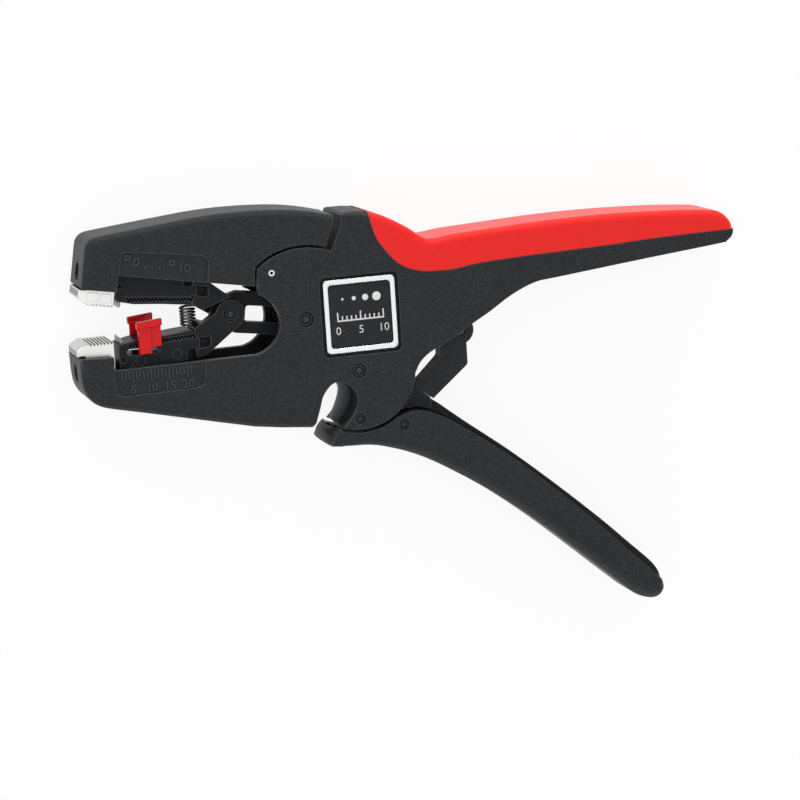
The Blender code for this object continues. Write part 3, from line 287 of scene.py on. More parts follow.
@dataclass(frozen=True)
class MouldedPlastic:
    """Moulded plastic with a spark-eroded or polished skin, edges lightened by wear and painted
    highlight, and painted shade in its crevices.
    """

    name: str
    colour: str
    cloud: str
    worn: str
    roughness: float
    grain_mm: float
    grain_depth_mm: float
    specular: float = 0.35
    wear: float = 0.5
    edge_mm: float = 0.3
    cloud_mm: float = 14.0
    ior: float = 1.53
    speck: float = 0.3
    shade: float = 0.35
    crevice_mm: float = 0.9
    gloss_change: float = 0.07
    relief_strength: float = 0.6

    def make(self) -> Material:
        """Build the node tree of this plastic.

        Returns:
            The finished material.
        """
        tree = FinishTree(self.name)
        grain = tree.noise(self.grain_mm, 2.0, 0.7)
        clouds = tree.noise(self.cloud_mm, 3.0, 0.6)
        tone = tree.blend(clouds, linear(self.colour), linear(self.cloud))
        speck = tree.ranged(grain, SPECK_SPAN, (1.0 - self.speck, 1.0 + self.speck))
        normal, edge = tree.rounded_edges(self.edge_mm)
        # The edges go lighter for wear and as a painted highlight; the crevices get painted shade
        # below.
        skin = tree.rubbed(tree.scaled(tone, speck), edge, self.wear, self.worn)
        gloss = tree.ranged(grain, GLOSS_SPAN, (self.roughness - self.gloss_change,
                                                self.roughness + self.gloss_change))
        relief = tree.relief(grain, self.grain_depth_mm, self.relief_strength, normal)
        return tree.finished({"Base Color": tree.shaded(skin, self.crevice_mm, self.shade),
                              "Roughness": gloss, "IOR": self.ior,
                              "Specular IOR Level": self.specular, "Normal": relief})


@dataclass(frozen=True)
class WorkedMetal:
    """Steel with the lines of its grinding or brushing, or a blackened skin."""

    name: str
    colour: str
    dull: str
    roughness: float
    lay: Lay = Lay.NONE
    line_mm: float = 0.12
    line_depth_mm: float = 0.004
    cloud_mm: float = 5.0
    edge_mm: float = 0.2
    rim: str = "f2f2f0"
    wear: float = 0.35
    shade: float = 0.3
    crevice_mm: float = 0.7
    gloss_change: Point = (-0.06, 0.08)
    relief_strength: float = 0.5
    line_stretch: float = 0.03

    def make(self) -> Material:
        """Build the node tree of this metal.

        Returns:
            The finished material.
        """
        tree = FinishTree(self.name)
        long_way = self.line_stretch if self.lay is not Lay.NONE else 1.0
        along = tree.stretched(tuple(long_way if axis else 1.0 for axis in self.lay.value))
        lines = tree.noise(self.line_mm, 2.0, place=along)
        tone = tree.blend(tree.noise(self.cloud_mm, 3.0), linear(self.colour), linear(self.dull))
        normal, edge = tree.rounded_edges(self.edge_mm)
        # The edges go towards the rim colour for wear, as a painted highlight where it is lighter
        # and as painted shade where it is darker; the crevices get painted shade below.
        skin = tree.rubbed(tone, edge, self.wear, self.rim)
        smooth, rough = self.gloss_change
        gloss = tree.ranged(lines, GLOSS_SPAN, (self.roughness + smooth, self.roughness + rough))
        relief = tree.relief(lines, self.line_depth_mm, self.relief_strength, normal)
        return tree.finished({"Base Color": tree.shaded(skin, self.crevice_mm, self.shade),
                              "Roughness": gloss, "Metallic": 1.0, "Normal": relief})


# Glass-filled nylon out of a spark-eroded mould: matt charcoal with a fine grain that
# catches light as specks. The real grain of 0.1 mm is drawn at 0.32 mm so that it shows.
HOUSING_NYLON = MouldedPlastic("glass_filled_nylon_charcoal", "303133", "2a2b2d", "77787b", 0.42,
                               0.32, 0.04, specular=0.06, wear=0.7, speck=0.4, shade=0.15)
# The same nylon, a little lighter on the raised marks and rack teeth: painted highlight that lets
# them stand out.
MARK_NYLON = MouldedPlastic("nylon_charcoal_painted_highlight", "3a3b3d", "343538", "8a8b8e", 0.4, 0.32, 0.02,
                            specular=0.1, wear=0.7, edge_mm=0.12)
# The same nylon in a finer, darker grade for the moving pieces inside the jaws, with strong painted
# shade in its holes and gaps.
MECHANISM_NYLON = MouldedPlastic("glass_filled_nylon_black", "2b2c2e", "252628", "808184", 0.34,
                                 0.32, 0.02, specular=0.04, wear=0.75, speck=0.3, edge_mm=0.4,
                                 shade=0.06, crevice_mm=1.4)
# Overmoulded polypropylene grip: smooth warm red with a broad soft shine.
GRIP_POLYPROPYLENE = MouldedPlastic("polypropylene_red_grip", "e6211b", "df1e18", "f07a72", 0.34,
                                    0.6, 0.004, specular=0.2, wear=0.2, ior=1.49, speck=0.03,
                                    shade=0.6)
# Polished acetal slider: deep clear red with small sharp lights.
SLIDER_ACETAL = MouldedPlastic("acetal_red_slider", "dc0c12", "d0080d", "f06a68", 0.22, 0.6, 0.002,
                               specular=0.22, wear=0.7, ior=1.48, edge_mm=0.25, speck=0.03,
                               shade=0.45)
# Printed plate in the badge: smoother than the housing, with a faint metallic fleck.
BADGE_LACQUER = MouldedPlastic("lacquered_badge_plate", "2b2c2f", "27282b", "4b4c50", 0.34, 0.3,
                               0.006, specular=0.06, wear=0.2, speck=0.2)
# White pad-printing ink of the plain marks on the badge, a little uneven.
PRINTED_INK = MouldedPlastic("white_pad_printing_ink", "dfdfdd", "d2d2d0", "e6e6e4", 0.5, 0.4,
                             0.002, specular=0.3, wear=0.1, speck=0.06, shade=0.8)
# Nickel-plated steel of the clamping jaws: bright, satin, brushed along the tool. Its edges and the
# roots of its teeth are painted darker: painted shade that draws the outlines and the teeth.
CLAMP_NICKEL = WorkedMetal("satin_nickel_plated_steel", "d6d6d4", "c4c4c2", 0.36, Lay.ALONG_X,
                           edge_mm=0.25, rim="66666a", wear=0.8, shade=0.12, crevice_mm=0.8)
# Hot-foiled border of the badge: bright silver with a slight softness.
BORDER_SILVER = WorkedMetal("hot_foil_silver", "d0d1d3", "cbccce", 0.28, Lay.NONE, 0.8, 0.0002,
                            cloud_mm=12.0, rim="a2a3a6", wear=0.3, shade=0.5)
# Hardened blade steel, ground across the edge.
BLADE_STEEL = WorkedMetal("ground_blade_steel", "8a8a8e", "747478", 0.36, Lay.ALONG_Z)
# Cutter blades: the same steel, painted darker as painted shade for the notch they sit in, and
# lighter on the edges.
CUTTER_STEEL = WorkedMetal("cutter_steel_painted_shade", "57585b", "464749", 0.4, Lay.ALONG_Z,
                           rim="b0b0b2")
# Black-oxide steel of pins and screws: dark and oily; its rims are lighter, rubbed and with painted
# highlight, and its grooves get painted shade.
PIN_BLACK_OXIDE = WorkedMetal("black_oxide_pin_steel", "3a3b3e", "313235", 0.34, Lay.NONE, 0.6,
                              0.001, edge_mm=0.12, rim="6c6d71", wear=0.5, shade=0.1,
                              crevice_mm=0.6)
# Drawn spring wire, oiled, with lines along the wire.
SPRING_WIRE_STEEL = WorkedMetal("oiled_spring_wire", "66676b", "4e4f53", 0.24, Lay.ALONG_Y, 0.15)


def raised(work: BMesh, faces: Sequence[BMFace], rise: float) -> BMesh:
    """Extrude flat faces upwards.

    Args:
        work: Mesh in millimetres that holds the faces.
        faces: All faces of the mesh.
        rise: Height of the new solid.

    Returns:
        The same mesh, now closed.
    """
    grown = bmesh.ops.extrude_face_region(work, geom=list(faces))
    top = [v for v in grown["geom"] if isinstance(v, BMVert)]
    bmesh.ops.translate(work, vec=(0.0, 0.0, rise), verts=top)
    bmesh.ops.recalc_face_normals(work, faces=work.faces)
    return work


def slab(outline: Sequence[Point], low: float, high: float) -> BMesh:
    """Extrude an outline between two heights.

    Args:
        outline: Corners in order, in millimetres.
        low: Height of the lower face.
        high: Height of the upper face.

    Returns:
        A closed mesh in millimetres.
    """
    work = bmesh.new()
    face = work.faces.new([work.verts.new((x, y, low)) for x, y in outline])
    return raised(work, [face], high - low)


def turned(profile: Sequence[Point], centre: Point, steps: int) -> BMesh:
    """Spin an open (radius, height) profile round an upright line.

    Args:
        profile: Points from the axis out and back to the axis.
        centre: Place of the line in the plane.
        steps: Number of facets round the piece.

    Returns:
        A closed mesh in millimetres.
    """
    work = bmesh.new()
    points = [work.verts.new((radius, 0.0, height)) for radius, height in profile]
    runs = [work.edges.new(pair) for pair in zip(points, points[1:])]
    bmesh.ops.spin(work, geom=points + runs, cent=(0.0, 0.0, 0.0), axis=(0.0, 0.0, 1.0),
                   angle=2 * math.pi, steps=steps, use_merge=True)
    bmesh.ops.remove_doubles(work, verts=work.verts, dist=WELD_MM)
    bmesh.ops.recalc_face_normals(work, faces=work.faces)
    bmesh.ops.translate(work, vec=(*centre, 0.0), verts=work.verts)
    return work


def disc(centre: Point, radius: float, low: float, high: float, steps: int) -> BMesh:
    """Turn a flat disc between two heights."""
    return turned([(0.0, low), (radius, low), (radius, high), (0.0, high)], centre, steps)


def soften(work: BMesh, width: float, segments: int, least: float = 30.0,
           keep: Optional[Callable[[BMEdge], bool]] = None) -> None:
    """Round the real edges of a mesh.

    Args:
        work: Mesh in millimetres.
        width: Width of the rounding.
        segments: Facets across the rounding.
        least: Smallest angle in degrees that counts as an edge.
        keep: Test for the edges to round, or None for all.
    """
    edges = [e for e in work.edges
             if len(e.link_faces) == 2 and e.calc_face_angle() > math.radians(least)]
    bmesh.ops.bevel(work, geom=[e for e in edges if keep is None or keep(e)], offset=width,
                    segments=segments, profile=0.5, affect="EDGES", material=-1, clamp_overlap=True)


def arc(centre: Point, radius: float, start: float, end: float, count: int) -> list[Point]:
    """Give points along an arc between two angles in degrees."""
    turns = [math.radians(start + (end - start) * i / count) for i in range(count + 1)]
    return [(centre[0] + radius * math.cos(t), centre[1] + radius * math.sin(t)) for t in turns]


def box(left: float, low: float, right: float, high: float) -> list[Point]:
    """Give the four corners of a box in order."""
    return [(left, low), (right, low), (right, high), (left, high)]


def rounded_box(left: float, low: float, right: float, high: float, radius: float) -> list[Point]:
    """Give the outline of a box with round corners."""
    middles = ((right - radius, high - radius), (left + radius, high - radius),
               (left + radius, low + radius), (right - radius, low + radius))
    return [point for turn, middle in enumerate(middles)
            for point in arc(middle, radius, 90.0 * turn, 90.0 * turn + 90.0, CORNER_STEPS)]


def toothed_run(start: float, end: float, level: float, depth: float) -> list[Point]:
    """Give the outline of a row of square-topped clamping teeth.

    Args:
        start: First x.
        end: Last x.
        level: Height of the tooth tops.
        depth: Depth of the grooves; negative where the teeth point down.

    Returns:
        The points from start to end.
    """
    count = round(abs(end - start) / TOOTH_PITCH)
    step = (end - start) / count
    flat_end, groove_start, groove_end = TOOTH_SHARES
    points = []
    for i in range(count):
        x = start + step * i
        points += [(x, level), (x + flat_end * step, level),
                   (x + groove_start * step, level - depth), (x + groove_end * step, level - depth)]
    return points + [(end, level)]


def ring_slab(outer: Sequence[Point], inner: Sequence[Point], low: float, high: float) -> BMesh:
    """Extrude the space between two outlines with equally many corners.

    Args:
        outer: Outer outline.
        inner: Inner outline, corner for corner.
        low: Height of the lower face.
        high: Height of the upper face.

    Returns:
        A closed mesh in millimetres.
    """
    work = bmesh.new()
    loops = [[work.verts.new((x, y, low)) for x, y in line] for line in (outer, inner)]
    pairs = [(loops[0][i], loops[1][i]) for i in range(len(outer))]
    flat = [work.faces.new((a, c, d, b)) for (a, b), (c, d) in zip(pairs, pairs[1:] + pairs[:1])]
    return raised(work, flat, high - low)


def ringed_pin(radius: float, low: float, high: float, centre: Point = (0.0, 0.0)) -> BMesh:
    """Turn a pin with a grooved head at both ends.

    Args:
        radius: Radius of the pin.
        low: Height of the lower head.
        high: Height of the upper head.
        centre: Place of the pin in the plane.

    Returns:
        A closed mesh in millimetres.
    """
    upper = [(share * radius, high + drop) for share, drop in PIN_HEAD]
    lower = [(share * radius, low - drop) for share, drop in reversed(PIN_HEAD)]
    return turned(upper + lower, centre, PIN_STEPS)


def publish(work: BMesh, name: str, body: Body, finish: Material,
            seat: Seat = TOOL_SEAT, stands_for: Sequence[str] = ()) -> Object:
    """Turn a mesh in millimetres into a piece that rides on its body.

    Args:
        work: Mesh in the seat's millimetres; it is freed.
        name: Name of the piece.
        body: Body that carries it.
        finish: Its material.
        seat: Frame that it was drawn in.
        stands_for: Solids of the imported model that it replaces.

    Returns:
        The finished object.
    """
    bmesh.ops.transform(work, matrix=seat.matrix(), verts=work.verts)
    mesh = bpy.data.meshes.new(name)
    work.to_mesh(mesh)
    work.free()
    mesh.shade_smooth()
    mesh.set_sharp_from_angle(angle=math.radians(SMOOTH_BELOW))
    mesh.materials.append(finish)
    piece = bpy.data.objects.new(name, mesh)
    bpy.context.scene.collection.objects.link(piece)
    piece.modifiers.new("even_normals", "WEIGHTED_NORMAL").keep_sharp = True
    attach(piece, body.value)
    if stands_for:
        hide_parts(*stands_for)
    LOG.info("%s rides on %s, %d faces", name, body.value, len(mesh.polygons))
    return piece


def dress(names: Sequence[str], finish: Material) -> None:
    """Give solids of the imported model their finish.

    Args:
        names: Names of the solids.
        finish: Their material.
    """
    for name in names:
        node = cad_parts[name]
        node.data.materials.clear()
        node.data.materials.append(finish)
        LOG.info("%s is dressed in %s", name, finish.name)


def numeral(text: str, height: float, centre: Point, low: float, rise: float,
            turn: float = 0.0) -> BMesh:
    """Shape plain raised characters.

    Args:
        text: Characters to raise.
        height: Height of a digit.
        centre: Middle of the text in the plane.
        low: Height of the surface under it.
        rise: How far the characters stand up.
        turn: Angle of the line of text in degrees.

    Returns:
        A mesh in millimetres.
    """
    curve = bpy.data.curves.new("numeral", "FONT")
    curve.body = text
    curve.align_x = "CENTER"
    curve.size = height / CAP_SHARE
    curve.extrude = rise / 2
    curve.resolution_u = 3
    holder = bpy.data.objects.new("numeral", curve)
    bpy.context.scene.collection.objects.link(holder)
    bpy.context.view_layer.update()
    shown = holder.evaluated_get(bpy.context.evaluated_depsgraph_get())
    mesh = bpy.data.meshes.new_from_object(shown)
    work = bmesh.new()
    work.from_mesh(mesh)
    bpy.data.objects.remove(holder)
    bpy.data.curves.remove(curve)
    bpy.data.meshes.remove(mesh)
    bmesh.ops.remove_doubles(work, verts=work.verts, dist=WELD_MM)
    bmesh.ops.translate(work, vec=(0.0, -height / 2, 0.0), verts=work.verts)
    lay = Matrix.Rotation(math.radians(turn), 3, "Z")
    bmesh.ops.rotate(work, cent=(0.0, 0.0, 0.0), matrix=lay, verts=work.verts)
    bmesh.ops.translate(work, vec=(*centre, low + rise / 2), verts=work.verts)
    return work


def merged(parts: Sequence[BMesh]) -> BMesh:
    """Join meshes into the first one.

    Args:
        parts: Meshes in the same frame; all but the first are freed.

    Returns:
        The joined mesh.
    """
    whole = parts[0]
    for part in parts[1:]:
        spare = bpy.data.meshes.new("spare")
        part.to_mesh(spare)
        part.free()
        whole.from_mesh(spare)
        bpy.data.meshes.remove(spare)
    return whole


@dataclass(frozen=True)
class Finishes:
    """Materials of the tool, made once."""

    nylon: Material = field(default_factory=HOUSING_NYLON.make)
    mark: Material = field(default_factory=MARK_NYLON.make)
    dark: Material = field(default_factory=MECHANISM_NYLON.make)
    grip: Material = field(default_factory=GRIP_POLYPROPYLENE.make)
    slider: Material = field(default_factory=SLIDER_ACETAL.make)
    plate: Material = field(default_factory=BADGE_LACQUER.make)
    ink: Material = field(default_factory=PRINTED_INK.make)
    nickel: Material = field(default_factory=CLAMP_NICKEL.make)
    silver: Material = field(default_factory=BORDER_SILVER.make)
    blade: Material = field(default_factory=BLADE_STEEL.make)
    cutter: Material = field(default_factory=CUTTER_STEEL.make)
    black: Material = field(default_factory=PIN_BLACK_OXIDE.make)
    wire: Material = field(default_factory=SPRING_WIRE_STEEL.make)


@dataclass
class Housing:
    """Two housing halves with the stop scale moulded into the near one."""

    finishes: Finishes
    first_mark: int = 2
    last_mark: int = 21
    mark_pitch: float = 1.007
    five_x: float = -60.6
    mark_top: float = -2.3
    mark_short: float = 2.1
    mark_long: float = 3.0
    mark_width: float = 0.28
    numeral_height: float = 2.3
    numeral_y: float = -7.2
    pins: dict[str, tuple[Point, float]] = field(default_factory=lambda: {
        "jaw_pivot_pin": ((-11.4, 6.9), 1.9), "handle_pivot_pin": ((2.6, -8.9), 1.8),
        "housing_rivet": ((2.1, -22.4), 1.3)})

    def build(self) -> None:
        """Dress the halves, pins and grip and add the scale."""
        dress(["housing_near", "housing_far"], self.finishes.nylon)
        dress(["upper_grip"], self.finishes.grip)
        dress(["rocker_pivot_pin"], self.finishes.black)
        dress(["housing_roll_pin"], self.finishes.nickel)
        for name, (centre, radius) in self.pins.items():
            publish(ringed_pin(radius, PIN_SINK, BODY_T - PIN_SINK, centre), name + "_turned",
                    Body.HOUSING, self.finishes.black, stands_for=[name])
        self.scale_marks()
        self.scale_numerals()

    def mark_x(self, number: int) -> float:
        """Give the place of a mark along the channel."""
        return self.five_x + (number - 5) * self.mark_pitch

    def scale_marks(self) -> None:
        """Raise one line for each millimetre, longer at each fifth."""
        marks = []
        half = self.mark_width / 2
        for number in range(self.first_mark, self.last_mark + 1):
            length = self.mark_long if number % 5 == 0 else self.mark_short
            x = self.mark_x(number)
            marks.append(slab(box(x - half, self.mark_top - length, x + half, self.mark_top),
                              PANEL_Z, PANEL_Z + PANEL_RELIEF))
        publish(merged(marks), "stop_scale_marks", Body.HOUSING, self.finishes.mark)

    def scale_numerals(self) -> None:
        """Raise the plain numbers under each fifth mark."""
        shapes = [numeral(str(number), self.numeral_height, (self.mark_x(number), self.numeral_y),
                          PANEL_Z, PANEL_RELIEF)
                  for number in range(self.first_mark, self.last_mark + 1) if number % 5 == 0]
        publish(merged(shapes), "stop_scale_numerals", Body.HOUSING, self.finishes.mark)


@dataclass
class Badge:
    """Silver border round a plate with a plain printed scale."""

    finishes: Finishes
    border_outer: tuple[float, ...] = (-6.1, -3.5, 14.4, 17.0, 1.3)
    border_inner: tuple[float, ...] = (-4.7, -2.1, 13.0, 15.6, 1.0)
    border_z: Point = (BODY_T - 1.1, BODY_T - 0.1)
    border_edge: float = 0.22
    border_least: float = 60.0
    ink_z: Point = (BODY_T - 0.38, BODY_T - 0.32)
    scale_y: float = 5.6
    scale_x: Point = (-2.4, 10.6)
    scale_count: int = 10
    line_width: float = 0.4
    tick_short: float = 1.1
    tick_long: float = 2.2
    numeral_height: float = 2.2
    numeral_drop: float = 2.9
    wire_y: float = 11.4
    wire_radii: tuple[float, ...] = (0.35, 0.6, 0.9, 1.25)
    wire_steps: int = 24

    def build(self) -> None:
        """Lay the border and print the plate."""
        border = ring_slab(rounded_box(*self.border_outer), rounded_box(*self.border_inner),
                           *self.border_z)
        soften(border, self.border_edge, 2, self.border_least)
        publish(border, "badge_border_foiled", Body.HOUSING, self.finishes.silver,
                stands_for=["badge_frame"])
        dress(["badge_plate"], self.finishes.plate)
        publish(merged(self.scale() + self.wires()), "badge_print", Body.HOUSING, self.finishes.ink)

    def bar(self, left: float, low: float, right: float, high: float) -> BMesh:
        """Print one straight bar."""
        return slab(box(left, low, right, high), *self.ink_z)

    def scale(self) -> list[BMesh]:
        """Print a line with eleven ticks and the numbers 0, 5 and 10."""
        left, right = self.scale_x
        half = self.line_width / 2
        shapes = [self.bar(left - half, self.scale_y - self.line_width, right + half, self.scale_y)]
        for number in range(self.scale_count + 1):
            x = left + (right - left) * number / self.scale_count
            rise = self.tick_long if number % 5 == 0 else self.tick_short
            shapes.append(self.bar(x - half, self.scale_y, x + half, self.scale_y + rise))
            if number % 5 == 0:
                shapes.append(numeral(str(number), self.numeral_height,
                                      (x, self.scale_y - self.numeral_drop), self.ink_z[0],
                                      self.ink_z[1] - self.ink_z[0]))
        return shapes

    def wires(self) -> list[BMesh]:
        """Print a row of growing discs that stand for wire sizes."""
        left, right = self.scale_x
        step = (right - left) / len(self.wire_radii)
        return [disc((left + step * (number + 0.5), self.wire_y), radius, *self.ink_z,
                     self.wire_steps) for number, radius in enumerate(self.wire_radii)]


@dataclass
class Clamps:
    """Serrated clamping jaws with their front screws."""

    finishes: Finishes
    z_range: Point = (3.0, 17.0)
    tooth_depth: float = 0.45
    edge: float = 0.24
    edge_least: float = 25.0
    faces: Point = (-74.8, -63.1)
    lower_front: tuple[Point, ...] = ((-72.7, -7.0), (-72.7, 2.6), (-74.8, 2.6), (-74.8, 4.4),
                                      (-72.6, 5.7))
    lower_teeth: tuple[float, float, float] = (-71.6, -65.0, 5.75)
    lower_back: tuple[Point, ...] = ((-64.6, 5.7), (-64.6, -7.0))
    lower_inlay: Point = (2.95, 4.1)
    upper_front: tuple[Point, ...] = ((-61.0, 10.0), (-61.0, 3.2), (-63.1, 3.2), (-63.1, 0.8),
                                      (-60.4, -0.85))
    upper_teeth: tuple[float, float, float] = (-59.6, -53.6, -0.9)
    upper_back: tuple[Point, ...] = ((-53.2, -0.85), (-53.2, 3.2), (-54.6, 5.5), (-54.6, 10.0))
    upper_inlay: Point = (1.15, 2.85)
    inlay_depth: float = 0.3
    inlay_edge: float = 0.02
    pad_rise: float = 0.04
    pad_sink: float = 0.1
    pad_edge: float = 0.05
    pad_margin: float = 1.2
    pad_y: Point = (0.1, 2.7)
    pad_spans: tuple[Point, ...] = ((-60.6, -57.5), (-57.0, -53.9))
    face_reach: float = 0.1
    shortest_across: float = 1.0
    shortest_along: float = 1.2

    def build(self) -> None:
        """Shape both jaws and dress the screws."""
        dress(["upper_clamp_screw", "lower_clamp_screw"], self.finishes.black)
        teeth = toothed_run(*self.lower_teeth, self.tooth_depth)
        self.jaw([*self.lower_front, *teeth, *self.lower_back], "lower_clamp_jaw", Body.HOUSING,
                 TOOL_SEAT)
        teeth = toothed_run(*self.upper_teeth, -self.tooth_depth)
        self.jaw([*self.upper_front, *teeth, *self.upper_back], "upper_clamp_jaw", Body.UPPER_JAW,
                 JAW_SEAT)
        self.grip_pads()
        lower, upper = self.faces
        self.inlay(lower, self.lower_inlay, "lower_clamp_front_pad", Body.HOUSING, TOOL_SEAT)
        self.inlay(upper, self.upper_inlay, "upper_clamp_front_pad", Body.UPPER_JAW, JAW_SEAT)

    def jaw(self, outline: Sequence[Point], node: str, body: Body, seat: Seat) -> None:
        """Shape one jaw and round the edges of its outer sides.

        Args:
            outline: Side view of the jaw.
            node: Solid that it stands for.
            body: Body that carries it.
            seat: Frame of the outline.
        """
        work = slab(outline, *self.z_range)
        soften(work, self.edge, 2, self.edge_least, self.outer_edge)
        publish(work, node + "_ground", body, self.finishes.nickel, seat, [node])

    def grip_pads(self) -> None:
        """Raise two flat pads on each side of the upper jaw."""
        low, high = self.z_range
        pads = []
        for left, right in self.pad_spans:
            for z_range in ((high - self.pad_sink, high + self.pad_rise),
                            (low - self.pad_rise, low + self.pad_sink)):
                pad = slab(box(left, self.pad_y[0], right, self.pad_y[1]), *z_range)
                soften(pad, self.pad_edge, 1)
                pads.append(pad)
        publish(merged(pads), "upper_clamp_side_pads", Body.UPPER_JAW, self.finishes.nickel,
                JAW_SEAT)

    def inlay(self, x: float, span: Point, name: str, body: Body, seat: Seat) -> None:
        """Set a dark ground pad into the front face of a jaw.

        Args:
            x: Place of the front face.
            span: Lower and upper edge of the pad.
            name: Name of the piece.
            body: Body that carries it.
            seat: Frame of the jaw.
        """
        pad = slab(box(x - self.pad_rise, span[0], x + self.inlay_depth, span[1]),
                   self.z_range[0] + self.pad_margin, self.z_range[1] - self.pad_margin)
        soften(pad, self.inlay_edge, 1)
        publish(pad, name, body, self.finishes.blade, seat)

    def outer_edge(self, edge: BMEdge) -> bool:
        """Tell the long outline edges from the grooves between teeth.

        Args:
            edge: Edge of a jaw.

        Returns:
            Whether it gets rounded.
        """
        one, other = (v.co for v in edge.verts)
        if abs(one.z - other.z) > self.shortest_across:
            return min(abs(one.x - face) for face in self.faces) < self.face_reach
        return edge.calc_length() > self.shortest_along


@dataclass
class UpperJaw:
    """Upper jaw moulding with the plain marks of its panel."""

    finishes: Finishes
    turn: float = -2.4
    height: float = 2.5
    squares: tuple[Point, ...] = ((-51.3, 13.0), (-38.9, 12.6))
    square_outer: Point = (0.8, 0.7)
    square_inner: Point = (0.45, 0.35)
    dots: tuple[Point, ...] = ((-46.1, 11.1), (-44.2, 11.0), (-42.3, 10.95))
    dot_radius: float = 0.26
    dot_steps: int = 16
    numbers: dict[str, Point] = field(
        default_factory=lambda: {"0": (-48.7, 12.2), "10": (-35.4, 11.65)})

    def build(self) -> None:
        """Dress the jaw and raise the marks."""
        dress(["upper_jaw"], self.finishes.nylon)
        shapes = [numeral(text, self.height, centre, PANEL_Z, PANEL_RELIEF, self.turn)
                  for text, centre in self.numbers.items()]
        for x, y in self.squares:
            outer, inner = (box(x - half_x, y - half_y, x + half_x, y + half_y)
                            for half_x, half_y in (self.square_outer, self.square_inner))
            shapes.append(ring_slab(outer, inner, PANEL_Z, PANEL_Z + PANEL_RELIEF))
        shapes += [disc(centre, self.dot_radius, PANEL_Z, PANEL_Z + PANEL_RELIEF, self.dot_steps)
                   for centre in self.dots]
        publish(merged(shapes), "jaw_panel_marks", Body.UPPER_JAW, self.finishes.mark,
                JAW_SEAT)


@dataclass
class BladeCarrier:
    """Blade arms with their plug-in holders, blades, spring and draw bar."""

    finishes: Finishes
    side_z: float = 15.0
    pin_radius: float = 1.75
    pin_z: Point = (5.1, 15.2)
    rack_start: Point = (-28.6, -5.5)
    rack_rise: float = 0.06
    rack_count: int = 18
    tooth: Point = (0.46, 0.6)
    tooth_low: float = 14.15
    tooth_edge: float = 0.1
    tooth_proud: float = 0.02
    ejector_marks: tuple[Point, ...] = ((-25.9, -10.2), (-15.7, -9.4))
    ejector_radii: Point = (1.2, 1.45)
    ejector_steps: int = 32
    mark_sink: float = 0.02
    mark_rise: float = 0.07
    pointer: tuple[Point, ...] = ((-29.2, -12.0), (-27.3, -12.0), (-28.25, -11.0))
    pointer_rise: float = 0.14
    spring_axis: Point = (-11.0, 10.0)
    spring_run: Point = (-2.46, 2.76)
    spring_radius: float = 1.96
    spring_wire: float = 0.34
    spring_turns: int = 6
    spring_steps: int = 24
    wire_sides: int = 12
    spring_foot: tuple[float, float, float] = (-0.0424, 0.007, 0.01)
    spring_keep: float = 0.42

    def build(self) -> None:
        """Dress the moving pieces between the jaws and add their fine details."""
        dress(["lower_blade_arm", "upper_blade_arm", "lower_blade_holder", "upper_blade_holder",
               "draw_bar"], self.finishes.dark)
        dress(["lower_blade", "upper_blade"], self.finishes.blade)
        spring = publish(self.spring(), "blade_spring_wound", Body.LOWER_ARM, self.finishes.wire,
                         LOWER_ARM_SEAT, ["blade_spring"])
        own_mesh(spring)
        publish(ringed_pin(self.pin_radius, *self.pin_z), "arm_pivot_pin_turned", Body.DRAW_BAR,
                self.finishes.black, LOWER_ARM_SEAT, ["arm_pivot_pin"])
        publish(self.rack(1.0), "lower_rack_teeth", Body.LOWER_ARM, self.finishes.mark,
                LOWER_ARM_SEAT)
        publish(self.rack(-1.0), "upper_rack_teeth", Body.UPPER_ARM, self.finishes.mark,
                UPPER_ARM_SEAT)
        publish(merged(self.moulding_marks()), "lower_holder_marks", Body.LOWER_ARM,
                self.finishes.dark, LOWER_ARM_SEAT)

    def spring(self) -> BMesh:
        """Wind the wire of the spring that opens the arms.

        Returns:
            The closed coil.
        """
        work = bmesh.new()
        x, z = self.spring_axis
        low, high = self.spring_run
        steps = self.spring_turns * self.spring_steps
        bmesh.ops.create_circle(work, segments=self.wire_sides, radius=self.spring_wire,
                                matrix=Matrix.Translation((x + self.spring_radius, low, z)))
        bmesh.ops.spin(work, geom=work.verts[:] + work.edges[:], cent=(x, 0.0, z),
                       axis=(0.0, -1.0, 0.0), dvec=(0.0, (high - low) / steps, 0.0),
                       angle=2 * math.pi * self.spring_turns, steps=steps)
        bmesh.ops.holes_fill(work, edges=[edge for edge in work.edges if edge.is_boundary])
        bmesh.ops.recalc_face_normals(work, faces=work.faces)
        return work

    def rack(self, side: float) -> BMesh:
        """Raise the rack teeth in the groove of a holder.

        Args:
            side: 1 for the lower holder, -1 for the upper one.

        Returns:
            The teeth as one mesh.
        """
        teeth = []
        half_x, half_y = self.tooth[0] / 2, self.tooth[1] / 2
        for number in range(self.rack_count):
            x = self.rack_start[0] + number
            y = side * (self.rack_start[1] + self.rack_rise * number)
            tooth = slab(box(x - half_x, y - half_y, x + half_x, y + half_y), self.tooth_low,
                         self.side_z + self.tooth_proud)
            soften(tooth, self.tooth_edge, 1)
            teeth.append(tooth)
        return merged(teeth)

    def moulding_marks(self) -> list[BMesh]:
        """Raise the ejector rings and the pointer of the lower holder."""
        low, high = self.side_z - self.mark_sink, self.side_z + self.mark_rise
        hole, rim = self.ejector_radii
        rings = [turned([(hole, low), (rim, low), (rim, high), (hole, high), (hole, low)], centre,
                        self.ejector_steps) for centre in self.ejector_marks]
        return rings + [slab(self.pointer, low, self.side_z + self.pointer_rise)]


@dataclass(frozen=True)
class Layer:
    """Flat shape between two heights, with the width of its edge rounding."""

    outline: tuple[Point, ...]
    low: float
    high: float
    edge: float


